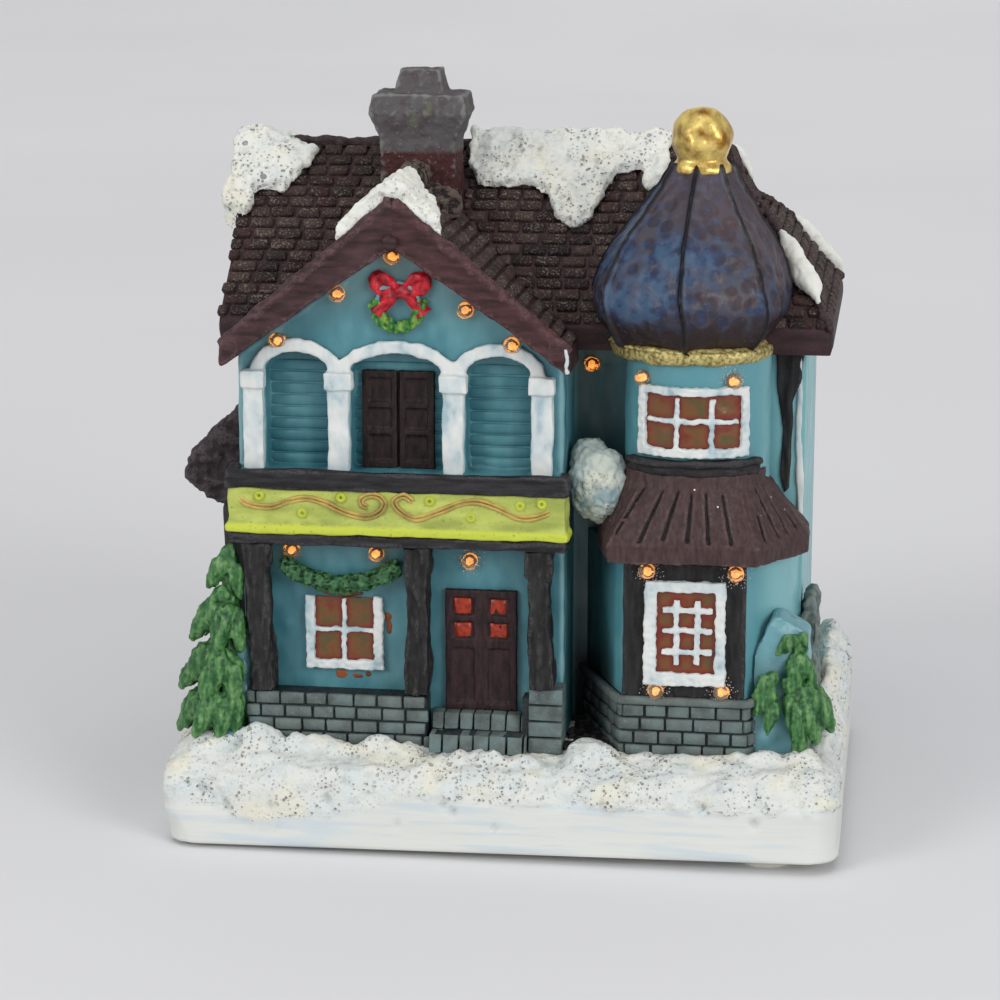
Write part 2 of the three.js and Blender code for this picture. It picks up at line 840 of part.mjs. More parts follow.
function steps() {
  return joined([
    block(plinthRight, stepsRight, stepFront, porchFront, baseTop, stepHeight),
    block(plinthRight, stepsRight, lowStepFront, stepFront, baseTop, lowStepHeight),
    block(stepsRight, stepBlockRight, plinthFront, porchFront, baseTop, stepBlockTop),
  ]);
}

// A band bent round the balcony's front and both ends
function balconyWrap(out, z0, z1) {
  const side = balconyReach + out;
  const front = balconyFront - panelThickness - out;
  const whole = block(houseLeft - side, wingRight + side, front, wingFront, z0, z1);
  return whole.subtract(block(houseLeft + gap, wingRight - gap, balconyFront, far, 0, far));
}

function balconyPanel() {
  const panel = balconyWrap(0, balconyBottom, panelTop);
  return panel.add(balconyWrap(lipOut, balconyBottom, balconyBottom + lipHeight));
}

function balconyRail() {
  return balconyWrap(railOut, panelTop, railTop);
}

function porchBeam() {
  return block(houseLeft - balconyReach, wingRight + balconyReach,
    balconyFront - panelThickness + beamThin, porchFront, beamBottom, balconyBottom);
}

// A hewn post that stands on level ground and widens to a bracket under the beam
function post({ top, foot }, ground) {
  const [topLeft, topRight] = top;
  const [footLeft, footRight] = foot;
  const low = beamBottom - bracketHeight;
  const outline = [
    [footLeft, ground], [footRight, ground], [topRight - 0.5, low], [topRight, low + 1],
    [topRight, beamBottom], [topLeft, beamBottom], [topLeft, low + 1], [topLeft + 0.6, low],
  ];
  return facade(outline, plinthFront + postInset, porchFront - gap - frameThickness);
}

function garland() {
  const y = porchFront - gap - garlandRadius;
  const lowest = porchWindow.top + 1.5 * gap + garlandRadius;
  const middle = (porchWindow.left + porchWindow.right) / 2 + garlandShift;
  const points = [-1, -0.5, 0, 0.5, 1].map(
    (t) => [middle + garlandReach * t, y, lowest + garlandSag * t * t]);
  return tube(smoothCurve(points), garlandRadius, 8, 14);
}

function bowOutline() {
  return [
    [-0.9, 1.1], [-2.6, 3.6], [-4.4, 3.4], [-4.6, 0.8], [-3.4, -0.2], [-4.6, -3],
    [-2.9, -bowDrop], [-0.4, -0.2], [0.7, -0.2], [2.6, -bowDrop], [4.9, -2.6], [3.6, 0.2],
    [4.7, 1.2], [4.1, 3.4], [2.2, 3.8], [0.9, 1.1],
  ].map(([x, z]) => [wreathX + bowShift + x, wreathZ + bowRise + z]);
}

function bow() {
  return facade(bowOutline(), wingFront - bowThickness, wingFront);
}

function wreath() {
  const ring = new THREE.TorusGeometry(wreathRadius, wreathTube, 8, 20);
  ring.rotateX(Math.PI / 2);
  ring.translate(wreathX, wingFront - wreathTube - 0.1, wreathZ);
  const bowFoot = wreathZ + bowRise - bowDrop;
  return solid(ring).subtract(block(-far, far, -far, far, bowFoot - gap, far));
}

// A fir of four skirts
function pine({ x, y, tip, radius }) {
  const tiers = 4;
  const step = (tip - baseTop) / tiers;
  const profile = [[0, baseTop]];
  for (let i = 0; i < tiers; i += 1) {
    const low = baseTop + step * i;
    const skirt = radius * (1 - pineTaper * (i / tiers));
    const last = i === tiers - 1;
    profile.push([skirt, i === 0 ? low : low - skirtDroop]);
    profile.push([last ? 0 : skirt * pineWaist, low + step - (last ? 0 : skirtDroop / 2)]);
  }
  return turned(profile, x, y, 12);
}

function leftPine() {
  return cut(pine(pineLeft), [
    block(houseLeft - gap, far, porchFront - 3 * frameThickness - 0.6, far, 0, far),
    block(sideBayLeft - gap, far, sideBayFront - gap, far, 0, far),
    block(leanLeft - gap, far, sideBayFront - leanOverhang - gap, far, leanBottom - gap, far),
    block(houseLeft + plinthInset - gap, far, plinthFront - gap, far, 0, plinthTop + gap),
    block(houseLeft - 2, far, -far, far, plinthTop, far),
  ]);
}

function rightPine() {
  const bay = slab(bayOutline(bayPlinthOut + gap), 0, far);
  return cut(pine(pineRight), [bay, block(-far, far, houseFront - gap, far, 0, far)]);
}

// Snow lying on a roof: a plan outline between the roof's top and the snow's own top
function snowOn(outline, under) {
  return slab(outline, 0, far)
    .intersect(under(snowThickness, 6))
    .subtract(under(-snowDrape, 7))
    .subtract(under(gap, gap));
}

function snowRidgeLeft() {
  const outline = [
    [-53.4, -4.5], [-49.6, -6.4], [-47.6, -2.2], [-43.4, -1.8], [-39.6, 2.4],
    [-38.7, 5], [-40.2, 9.6], [-44.8, 12.4], [-48.6, 14], [-53.4, 12],
  ];
  return snowOn(outline, underMainRoof);
}

function snowRidgeRight() {
  const edge = chimneyX + chimneyBodyWidth / 2 + gap;
  const outline = [
    [edge, 5.6], [-12.6, 2], [-9.6, -0.8], [-2.6, -0.6], [1.2, -1.8], [3.4, -5.4], [6.6, -7],
    [9, -5.4], [12.6, 1.6], [16.4, 2.4], [18, -0.8], [20.6, 0.4], [21.6, 7.5], [19, 11],
    [11, 12.8], [2, 11.6], [-6, 13.2], [edge, 10.4],
  ];
  return snowOn(outline, underMainRoof);
}

function snowGable() {
  const line = (lift, grow) => underGable(gableTip + lift, gableApex + lift, grow);
  const front = gableFront + gableSnowBack;
  const outline = [
    [gableX - 9, front], [gableX + 7.9, front], [gableX + 6.2, -26.5], [gableX + 3, -20],
    [gableX, -15.6], [gableX - 3.4, -20.4], [gableX - 6.6, -28],
  ];
  const cap = slab(outline, 0, far)
    .intersect(line(snowThickness + gableSnowExtra, 6))
    .subtract(line(gap, gap));
  return cap.subtract(underMainRoof(gap, gap));
}

function snowDrift() {
  const lump = new THREE.SphereGeometry(1, 14, 10);
  lump.scale(...driftReach);
  lump.translate(...driftCentre);
  return cut(solid(lump), [
    disc(towerRadius + bandThickness + bandBulge + gap, towerX, towerY, 0, far, roundSides),
    block(-far, wingRight + balconyReach + railOut + gap, -far, wingFront + 3, 0, far),
    block(-far, wingRight + gap, -far, far, 0, far),
    block(-far, far, houseFront - gap, far, 0, far),
    block(-far, far, -far, far, 0, bayTop + bayEaveDrop + gap),
    baySkirt(2 * gap),
  ]);
}

// Battery bay lines
const cellFloor = baseBottom + doorThickness + cellGap;
const cellHeight = cellFloor + cellRadius;
const boxInnerTop = cellHeight + cellRadius + cellGap;
const boxHalfX = cellLength / 2 + contactThickness + contactBump;
const boxHalfY = cellPitch + cellRadius + 2 * cellGap;
const boxLeft = boxCentreX - boxHalfX;
const boxRight = boxCentreX + boxHalfX;
const boxFront = boxCentreY - boxHalfY;
const boxBack = boxCentreY + boxHalfY;
const hingeX = boxLeft + barrelRadius + gap;
const hingeZ = baseBottom + barrelRadius;
const screwX = boxRight + boxWall + bossRadius;
const wireLevel = coverTop + gap + wireRadius;
const redExitY = boxBack - wireInset;
const blackExitY = boxFront + wireInset;

function batteryBox() {
  const shell = block(boxLeft - boxWall, boxRight + boxWall, boxFront - boxWall,
    boxBack + boxWall, coverTop, boxInnerTop + boxWall);
  const bay = block(boxLeft, boxRight, boxFront, boxBack, 0, boxInnerTop);
  const ribs = [-1, 1].map((side) => {
    const y = boxCentreY + (side * cellPitch) / 2;
    return block(boxLeft + ribInset, boxRight - ribInset, y - ribThickness / 2, y + ribThickness / 2,
      cellFloor + 1, boxInnerTop + 0.5);
  });
  const wireHoles = [[boxLeft, redExitY], [boxRight, blackExitY]].map(([x, y]) =>
    block(x - boxWall - 1, x + boxWall + 1, y - 2 * wireRadius, y + 2 * wireRadius,
      0, wireLevel + 2 * wireRadius));
  return cut(joined([shell.subtract(bay), ...ribs]), wireHoles);
}

function bottomCover() {
  const plate = slab(roundedRing(
    baseLeft + coverInset + gap, baseRight - coverInset - gap,
    baseFront + coverInset + gap, baseBack - coverInset - gap,
    baseCorner - coverInset - gap, 5), baseBottom, coverTop);
  const opening = block(boxLeft, boxRight, boxFront, boxBack, 0, far);
  const tabNotch = block(boxRight - 1, boxRight + tabLength + gap,
    boxCentreY - tabWidth / 2 - gap, boxCentreY + tabWidth / 2 + gap,
    0, baseBottom + doorThickness + gap);
  const pinPockets = block(
    hingeX - pinRadius - pinGap, hingeX + pinRadius + pinGap,
    boxFront - pinLength, boxBack + pinLength, hingeZ - pinRadius - pinGap, far);
  const slot = block(
    switchX - knobLength / 2 - gap, switchX + knobLength / 2 + switchTravel + gap,
    switchY - knobWidth / 2 - gap, switchY + knobWidth / 2 + gap, 0, far);
  const boss = disc(bossRadius, screwX, boxCentreY, coverTop - 0.5, coverTop + bossHeight, 20);
  const bossHole = disc(screwRadius + gap, screwX, boxCentreY, 0, coverTop + bossHeight - 1, 16);
  const bore = ledRadius + holderGap;
  const holder = turned([
    [ledRadius - seatLip, coverTop - 0.5], [bore + holderWall, coverTop - 0.5],
    [bore + holderWall, coverTop + holderHeight], [bore, coverTop + holderHeight],
    [bore, coverTop + ledSeat], [ledRadius - seatLip, coverTop + ledSeat],
    [ledRadius - seatLip, coverTop - 0.5],
  ], lampX, lampY, 20);
  const wireDoor = block(lampX - bore - holderWall - 1, lampX + bore + holderWall + 1,
    lampY - 2 * wireRadius, lampY + 2 * wireRadius, coverTop, coverTop + ledSeat - seatLip);
  const plateCut = cut(plate, [opening, tabNotch, pinPockets, slot]);
  return cut(joined([plateCut, boss, holder]), [bossHole, wireDoor]);
}

function batteryDoor() {
  const top = baseBottom + doorThickness;
  const plate = block(hingeX, boxRight - gap, boxFront + gap, boxBack - gap, baseBottom, top);
  const tab = block(boxRight - 1, boxRight + tabLength, boxCentreY - tabWidth / 2,
    boxCentreY + tabWidth / 2, baseBottom, top);
  const barrel = rod([hingeX, boxFront + gap, hingeZ], [hingeX, boxBack - gap, hingeZ],
    barrelRadius, 16);
  const pins = rod([hingeX, boxFront - pinLength + gap, hingeZ],
    [hingeX, boxBack + pinLength - gap, hingeZ], pinRadius, 10);
  const grips = [-1, 0, 1].map((i) => {
    const x = boxRight - gripInset + 2 * gripWidth * i;
    return block(x, x + gripWidth, boxCentreY - gripLength / 2, boxCentreY + gripLength / 2,
      0, baseBottom + gripDepth);
  });
  const headSeat = disc(screwHeadRadius + gap, screwX, boxCentreY, 0,
    baseBottom + screwHeadHeight, 20);
  const shankHole = disc(screwRadius + gap, screwX, boxCentreY, 0, far, 16);
  return cut(joined([plate, tab, barrel, pins]), [...grips, headSeat, shankHole]);
}

function doorScrew() {
  const headTop = baseBottom + screwHeadHeight;
  const head = disc(screwHeadRadius, screwX, boxCentreY, baseBottom, headTop, 20);
  const shank = disc(screwRadius, screwX, boxCentreY, headTop - 0.1, headTop + screwLength, 12);
  const slots = [[driveLength, driveWidth], [driveWidth, driveLength]].map(([x, y]) =>
    block(screwX - x / 2, screwX + x / 2, boxCentreY - y / 2, boxCentreY + y / 2,
      0, baseBottom + driveWidth));
  return cut(joined([head, shank]), slots);
}

// A cell lying along X, its nub towards +X
function cellGeometry() {
  const half = cellLength / 2;
  const points = [
    [0, -half], [cellRadius - 0.5, -half], [cellRadius, -half + 0.5],
    [cellRadius, half - nubLength - 0.5], [cellRadius - 0.5, half - nubLength],
    [nubRadius, half - nubLength], [nubRadius, half], [0, half],
  ].map(([r, x]) => new THREE.Vector2(r, x));
  const lathe = new THREE.LatheGeometry(points, 18);
  lathe.rotateZ(-Math.PI / 2);
  return lathe;
}

// A contact strip against an end wall of the box, with a bump for each cell it serves
function contact(side, firstCell, lastCell) {
  const wall = side < 0 ? boxLeft : boxRight;
  const face = wall - side * contactThickness;
  const tip = face - side * (contactBump - gap);
  const y = (i) => boxCentreY + (i - 1) * cellPitch;
  const half = contactWidth / 2;
  const strip = block(Math.min(wall, face), Math.max(wall, face),
    y(firstCell) - half, y(lastCell) + half, cellHeight - half, cellHeight + half);
  const bumps = [];
  for (let i = firstCell; i <= lastCell; i += 1) {
    bumps.push(rod([face + side * 0.1, y(i), cellHeight], [tip, y(i), cellHeight], nubRadius, 12));
  }
  return joined([strip, ...bumps]);
}

// Lamp
const ledBottom = coverTop + ledSeat + 0.1;
const ferruleBottom = ledBottom + ledHeight + gap;
const ferruleTop = ferruleBottom + ferruleHeight;

function lamp() {
  const top = ledBottom + ledHeight;
  const profile = [
    [0, ledBottom], [ledRadius + 0.2, ledBottom], [ledRadius + 0.2, ledBottom + 1],
    [ledRadius, ledBottom + 1], [ledRadius, top - ledRadius],
    [ledRadius * 0.87, top - ledRadius * 0.5], [ledRadius * 0.5, top - ledRadius * 0.13], [0, top],
  ];
  const leads = [-leadReach, leadReach].map((x) => block(
    lampX + x - leadWidth / 2, lampX + x + leadWidth / 2,
    lampY - leadWidth / 2, lampY + leadWidth / 2, coverTop + 2 * gap, ledBottom + 0.2));
  return joined([turned(profile, lampX, lampY, 18), ...leads]);
}

// Where the light points come out: place on the wall's face and the way out
function houseLights() {
  const gableDrop = (gableUnderApex - gableUnderTip) / (gableX - gableLeft);
  const gable = gableLights.map(([across, drop]) => ({
    at: [gableX + across, wingFront, gableUnderApex - Math.abs(across) * gableDrop - drop],
    way: [0, -1, 0],
    inside: wingWall,
  }));
  const porch = porchLights.map(([x, z]) => ({
    at: [x, porchFront, z],
    way: [0, -1, 0],
    inside: wingWall,
  }));
  const [x, z] = cornerLight;
  const wall = { at: [x, houseFront, z], way: [0, -1, 0], inside: wallThickness };
  return [...gable, ...porch, wall];
}

function towerLights() {
  const round = towerLightTurns.map((degrees) => {
    const angle = (degrees * Math.PI) / 180;
    const way = [Math.sin(angle), -Math.cos(angle), 0];
    return {
      at: [towerX + towerRadius * way[0], towerY + towerRadius * way[1],
        towerTop - towerLightDrop],
      way,
      inside: towerWall,
    };
  });
  return [...round, ...surroundLights()];
}

function surroundLights() {
  const { left, right, bottom, top } = bayWindow;
  const places = [
    [left + 0.4, top + 1.6], [right + 1.4, top + 1.6], [left + 2, bottom - 1.1],
    [right - 0.6, bottom - 0.9],
  ];
  return places.map(([x, z]) => ({
    at: [x, bayFront - surroundThickness, z],
    way: [0, -1, 0],
    inside: towerWall + surroundThickness,
  }));
}

function strandHoles(lights) {
  return lights.map(({ at, way, inside }) => {
    const from = at.map((v, i) => v - way[i] * (inside + 3));
    const to = at.map((v, i) => v + way[i] * 3);
    return rod(from, to, strandHole, 8);
  });
}

// The strands leave the ferrule together, rise in the room and fan out to their holes.
// Those for the tower pass the mouth in the front wall behind it.
function fibreBundle() {
  const house = houseLights();
  const lights = [...house, ...towerLights()];
  const ferrule = disc(ledRadius + 0.1, lampX, lampY, ferruleBottom, ferruleTop, 18);
  const strands = lights.map(({ at, way, inside }, i) => {
    const turn = i * goldenTurn;
    const spread = strandSpread * Math.sqrt(i + 0.5);
    const root = [lampX + spread * Math.cos(turn), lampY + spread * Math.sin(turn), ferruleTop - 1];
    const rise = [root[0], root[1], ferruleTop + 8];
    const entry = at.map((v, k) => v - way[k] * (inside + 2));
    const tip = at.map((v, k) => v + way[k] * strandOut);
    const behind = at.map((v, k) => v - way[k] * (inside + 6));
    const mouthX = towerX + 2.4 * (i - house.length - 2.5);
    const mouthZ = Math.max(30, Math.min(entry[2], towerTop - 12));
    const route = i < house.length
      ? [root, rise, behind, entry]
      : [root, rise, [mouthX - 6, houseFront + 14, mouthZ], [mouthX, houseFront + 1, mouthZ],
        behind, entry];
    const steps = i < house.length ? 8 : 12;
    return tube(smoothCurve(route), strandRadius, 5, steps)
      .add(rod(entry, tip, strandRadius, 6));
  });
  return joined([ferrule, ...strands]);
}

// Switch: the body stands on the cover, the slider hangs through its slot
function switchBody() {
  const middle = switchX + switchTravel / 2;
  const shell = block(middle - switchLength / 2, middle + switchLength / 2,
    switchY - switchWidth / 2, switchY + switchWidth / 2, coverTop, coverTop + switchHeight);
  const reach = (slideLength + switchTravel) / 2 + gap;
  const channel = block(middle - reach, middle + reach,
    switchY - slideWidth / 2 - gap, switchY + slideWidth / 2 + gap,
    0, coverTop + slideThickness + 3 * gap);
  return shell.subtract(channel);
}

function switchSlider() {
  const knob = block(switchX - knobLength / 2, switchX + knobLength / 2,
    switchY - knobWidth / 2, switchY + knobWidth / 2, baseBottom - knobOut, coverTop + gap + 0.1);
  const plate = block(switchX - slideLength / 2, switchX + slideLength / 2,
    switchY - slideWidth / 2, switchY + slideWidth / 2,
    coverTop + gap, coverTop + gap + slideThickness);
  return knob.add(plate);
}

// Wires lie on the cover between the box, the switch and the lamp
function wireRed() {
  const end = switchX + switchTravel / 2 + switchLength / 2 + gap;
  return tube(smoothCurve([
    [boxLeft - gap, redExitY, wireLevel], [boxLeft - 3, redExitY, wireLevel],
    [(boxLeft + end) / 2, switchY + 1, wireLevel], [end, switchY, wireLevel],
  ]), wireRadius, 6, 10);
}

function wireLamp() {
  const end = switchX + switchTravel / 2 - switchLength / 2 - gap;
  const door = lampX - ledRadius - holderGap - holderWall;
  return tube(smoothCurve([
    [end, switchY, wireLevel], [end - 3.2, switchY - 1.8, wireLevel],
    [end - 4, (switchY + lampY) / 2, wireLevel], [door - 4.4, lampY + 1.6, wireLevel],
    [door - 1.5, lampY, wireLevel], [lampX - leadReach - 2 * gap, lampY, wireLevel],
  ]), wireRadius, 6, 18);
}

function wireBlack() {
  const side = boxRight + boxWall + 3;
  const front = boxFront - boxWall - 3;
  return tube(smoothCurve([
    [boxRight + gap, blackExitY, wireLevel], [side - 0.6, blackExitY - 1, wireLevel],
    [side - 1, front + 1, wireLevel], [side - 5, front, wireLevel],
    [boxLeft, front, wireLevel], [boxLeft - 6, front + 4, wireLevel],
    [lampX + ledRadius + holderWall + 3, lampY, wireLevel],
    [lampX + leadReach + 2 * gap, lampY, wireLevel],
  ]), wireRadius, 6, 30);
}

const model = new THREE.Group();
model.position.x = drawingShift;

function place(name, shape, material, at = [0, 0, 0], turn = 0) {
  const geometry = shape.isBufferGeometry ? shape : geometryOf(shape);
  const mesh = new THREE.Mesh(geometry, material);
  mesh.name = name;
  mesh.position.set(...at);
  mesh.rotation.z = turn;
  model.add(mesh);
}

// Base and walls
place("snow_base", snowBase(), snowWhite);
place("house_walls", houseWalls(), wallBlue);
place("tower", tower(), wallBlue);
place("side_bay", sideBay(), boardMaroon);
place("wing_plinth", wingPlinth(), stoneGrey);
place("steps", steps(), stoneGrey);
place("tower_plinth", towerPlinth(), stoneGrey);

// Roofs, dome and chimney
place("main_roof", mainRoof(), shingleBrown);
place("gable_roof", gableRoof(), boardMaroon);
place("lean_to_roof", leanToRoof(), shingleBrown);
place("bay_roof", bayRoof(), boardMaroon);
place("chimney", chimney(), stoneGrey);
place("dome_ring", domeRing(), goldPaint);
place("dome", dome(), domeBlue);
place("finial_ball", finialBall(), goldPaint);
place("sill_band", sillBand(), trimBlack);

// Front details
place("arcade", arcade(), trimWhite);
place("upper_door", upperDoor(), doorBrown);
place("front_door", frontDoor(), doorBrown);
place("balcony_panel", balconyPanel(), panelGreen);
place("balcony_rail", balconyRail(), trimBlack);
place("porch_beam", porchBeam(), trimBlack);
place("post_left", post(posts.left, plinthTop), trimBlack);
place("post_middle", post(posts.middle, plinthTop), trimBlack);
place("post_right", post(posts.right, stepBlockTop), trimBlack);
place("porch_window", flatWindow(porchWindow, porchFront), trimWhite);
place("tower_window", towerWindowFrame(), trimWhite);
place("bay_surround", baySurround(), trimBlack);
place("bay_window", flatWindow(bayWindow, bayFront - surroundThickness), trimWhite);

// Planting, ornaments and snow
place("garland", garland(), leafGreen);
place("wreath", wreath(), leafGreen);
place("bow", bow(), ribbonRed);
place("pine_left", leftPine(), leafGreen);
place("pine_right", rightPine(), leafGreen);
place("snow_ridge_left", snowRidgeLeft(), snowWhite);
place("snow_ridge_right", snowRidgeRight(), snowWhite);
place("snow_gable", snowGable(), snowWhite);
place("snow_drift", snowDrift(), snowWhite);

// Underside
place("bottom_cover", bottomCover(), coverPlastic);
place("battery_box", batteryBox(), boxPlastic);
place("battery_door", batteryDoor(), coverPlastic);
place("door_screw", doorScrew(), springSteel);
for (const [name, sideX, sideY] of [
  ["foot_front_left", 0, 0], ["foot_front_right", 1, 0],
  ["foot_back_left", 0, 1], ["foot_back_right", 1, 1],
]) {
  const foot = new THREE.CylinderGeometry(footRadius, footRadius - 0.4, footHeight, 24);
  foot.rotateX(Math.PI / 2);
  const x = sideX ? baseRight - footInsetX : baseLeft + footInsetX;
  const y = sideY ? baseBack - footInsetY : baseFront + footInsetY;
  place(name, foot, rubber, [x, y, footHeight / 2]);
}

// Inside: cells, contacts, lamp, fibres, switch and wires
for (let i = 0; i < 3; i += 1) {
  const turn = i % 2 ? Math.PI : 0;
  const y = boxCentreY + (i - 1) * cellPitch;
  place(`cell_${i + 1}`, cellGeometry(), cellWrap, [boxCentreX, y, cellHeight], turn);
}
place("contact_left_link", contact(-1, 0, 1), springSteel);
place("contact_left_end", contact(-1, 2, 2), springSteel);
place("contact_right_end", contact(1, 0, 0), springSteel);
place("contact_right_link", contact(1, 1, 2), springSteel);
place("lamp", lamp(), ledClear);
place("fibre_bundle", fibreBundle(), fibreClear);
place("switch_body", switchBody(), boxPlastic);
place("switch_slider", switchSlider(), trimBlack);
place("wire_red", wireRed(), wireRedCoat);
place("wire_lamp", wireLamp(), wireRedCoat);
place("wire_black", wireBlack(), wireBlackCoat);

export default model;
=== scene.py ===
# Christmas village house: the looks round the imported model.
# Shapes are drawn in millimetres, as the part's source draws them, and settled in metres at the end.
import math
import random

import bmesh
import bpy
from mathutils import Matrix, Vector, kdtree, noise


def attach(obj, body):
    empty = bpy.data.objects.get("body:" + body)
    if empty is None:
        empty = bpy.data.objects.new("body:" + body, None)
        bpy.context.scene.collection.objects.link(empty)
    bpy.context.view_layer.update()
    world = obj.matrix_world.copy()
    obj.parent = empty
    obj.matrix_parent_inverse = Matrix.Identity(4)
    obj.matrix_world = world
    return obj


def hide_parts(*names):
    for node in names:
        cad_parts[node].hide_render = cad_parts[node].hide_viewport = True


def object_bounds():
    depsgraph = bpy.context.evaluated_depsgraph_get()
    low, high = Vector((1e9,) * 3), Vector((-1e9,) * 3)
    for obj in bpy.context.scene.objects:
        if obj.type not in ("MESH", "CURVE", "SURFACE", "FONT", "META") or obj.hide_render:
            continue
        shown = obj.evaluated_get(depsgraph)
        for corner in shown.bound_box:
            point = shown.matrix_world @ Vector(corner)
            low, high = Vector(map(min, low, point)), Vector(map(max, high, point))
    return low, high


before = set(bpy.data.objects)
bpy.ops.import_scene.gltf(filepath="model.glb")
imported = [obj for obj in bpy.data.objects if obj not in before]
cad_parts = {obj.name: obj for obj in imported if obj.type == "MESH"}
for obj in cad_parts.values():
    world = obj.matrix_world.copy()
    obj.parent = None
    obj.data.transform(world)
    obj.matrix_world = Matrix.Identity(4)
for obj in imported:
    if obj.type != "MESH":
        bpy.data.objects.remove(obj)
cad_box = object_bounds()

# Drawing to part
MM = 0.001
DRAWING_SHIFT = 1.25

# House and wing
HOUSE_LEFT, HOUSE_RIGHT = -46.0, 45.5
HOUSE_FRONT, HOUSE_BACK = -14.0, 34.0
WING_FRONT = -28.5
PORCH_FRONT = -27.0
NICHE_BACK = -25.5
DECK = 16.0
STONE_TOP = 24.6
WING_CUT = -24.2  # the wing's front, before it, gets the finer skin

# Main roof
ROOF_LEFT, ROOF_RIGHT = -51.0, 50.0
ROOF_FRONT, ROOF_BACK = -21.0, 36.0
RIDGE_Y = 7.5
EAVE, RIDGE = 85.4, 111.5
HIP_RUN = 18.0
SLOPE_Y = (RIDGE - EAVE) / (RIDGE_Y - ROOF_FRONT)
SLOPE_X = (RIDGE - EAVE) / HIP_RUN

# Gable roof over the wing
GABLE_X = -19.5
GABLE_HALF = 28.5
GABLE_FRONT = -33.0
GABLE_TIP, GABLE_APEX = 83.0, 106.5
UNDER_TIP, UNDER_APEX = 79.0, 99.5
GABLE_SLOPE = (GABLE_APEX - GABLE_TIP) / GABLE_HALF
UNDER_SLOPE = (UNDER_APEX - UNDER_TIP) / GABLE_HALF

# Chimney
CHIMNEY_HALF = 6.8
CHIMNEY_FRONT, CHIMNEY_BACK = -7.9, 0.9

# Tower, dome and bay
TOWER_X, TOWER_Y = 28.3, -19.0
TOWER_RADIUS = 11.8
TOWER_TOP = 79.0
RING_TOP = 82.6
DOME_RADIUS, DOME_HEIGHT = 15.9, 27.9
DOME_TOP = RING_TOP + DOME_HEIGHT
BALL_RADIUS = 5.1
BAY_TOP = 49.6
BAND_BOTTOM, BAND_TOP = 62.3, 65.4
BAY_FACE = -31.8

# Shingles and bricks
COURSE = 2.35
SHINGLE_LENGTH = 4.1
SHINGLE_JOINT = 0.5
SHINGLE_PROUD = 0.66
BRICK_COURSE = 2.05
BRICK_LENGTH = 4.15
BRICK_JOINT = 0.4
BRICK_PROUD = 0.35


def rgb(red, green, blue):
    """A colour as a screen shows it, in the shader's linear numbers."""
    return tuple((value / 255.0) ** 2.2 for value in (red, green, blue)) + (1.0,)


# Node helpers
def paint(name, roughness=0.5, metallic=0.0, specular=0.4, **more):
    coat = bpy.data.materials.new(name)
    coat.use_nodes = True
    shader = coat.node_tree.nodes["Principled BSDF"]
    shader.inputs["Roughness"].default_value = roughness
    shader.inputs["Metallic"].default_value = metallic
    shader.inputs["Specular IOR Level"].default_value = specular
    for socket, value in more.items():
        shader.inputs[socket.replace("_", " ")].default_value = value
    return coat


def feed(coat, socket, value):
    if isinstance(value, bpy.types.NodeSocket):
        coat.node_tree.links.new(value, socket)
    else:
        socket.default_value = value


def node(coat, kind, inputs=None, **settings):
    made = coat.node_tree.nodes.new(kind)
    for key, value in settings.items():
        setattr(made, key, value)
    for key, value in (inputs or {}).items():
        feed(coat, made.inputs[key], value)
    return made


def place_of(coat, size, stretch=(1, 1, 1), turn=(0, 0, 0), shift=(0, 0, 0)):
    """Object coordinates counted in features of the given size in millimetres."""
    coordinates = node(coat, "ShaderNodeTexCoord").outputs["Object"]
    scale = [1 / MM / size / part for part in stretch]
    inputs = {"Vector": coordinates, "Scale": scale, "Rotation": turn, "Location": shift}
    return node(coat, "ShaderNodeMapping", inputs).outputs["Vector"]


def grain(coat, size, detail=3.0, stretch=(1, 1, 1), turn=(0, 0, 0), shift=(0, 0, 0)):
    vector = place_of(coat, size, stretch, turn, shift)
    inputs = {"Vector": vector, "Scale": 1.0, "Detail": detail}
    return node(coat, "ShaderNodeTexNoise", inputs).outputs["Fac"]


def between(coat, value, low, high, start=0.0, end=1.0):
    """Start below low, end above high, and a soft step from one to the other."""
    inputs = {"Value": value, "From Min": low, "From Max": high, "To Min": start, "To Max": end}
    made = node(coat, "ShaderNodeMapRange", inputs, interpolation_type="SMOOTHSTEP")
    return made.outputs["Result"]


def maths(coat, operation, first, second):
    return node(coat, "ShaderNodeMath", {0: first, 1: second}, operation=operation).outputs[0]


def times(coat, first, second):
    return maths(coat, "MULTIPLY", first, second)


def plus(coat, first, second):
    return maths(coat, "ADD", first, second)


def coated(coat, colour, *layers):
    """Further colours over the first one, each with the share of it that shows."""
    for share, over in layers:
        made = node(coat, "ShaderNodeMix", {0: share, 6: colour, 7: over}, data_type="RGBA")
        colour = made.outputs[2]
    return colour


def shades(coat, value, *stops):
    ramp = node(coat, "ShaderNodeValToRGB", {"Fac": value})
    elements = ramp.color_ramp.elements
    while len(elements) < len(stops):
        elements.new(0.5)
    for element, (place, colour) in zip(elements, stops):
        element.position = place
        element.color = colour
    return ramp.outputs["Color"]


def along(coat, axis):
    """One of the object coordinates in drawing millimetres."""
    coordinates = node(coat, "ShaderNodeTexCoord").outputs["Object"]
    split = node(coat, "ShaderNodeSeparateXYZ", {"Vector": coordinates}).outputs[axis]
    return maths(coat, "SUBTRACT", times(coat, split, 1 / MM), DRAWING_SHIFT if axis == "X" else 0.0)


def carried(coat, name):
    """A value that the piece's own points carry."""
    return node(coat, "ShaderNodeAttribute", attribute_name=name).outputs["Fac"]


def marked(coat, name, low, high, share=1.0):
    """The share of paint where the points' own value is high."""
    return between(coat, carried(coat, name), low, high, 0.0, share)


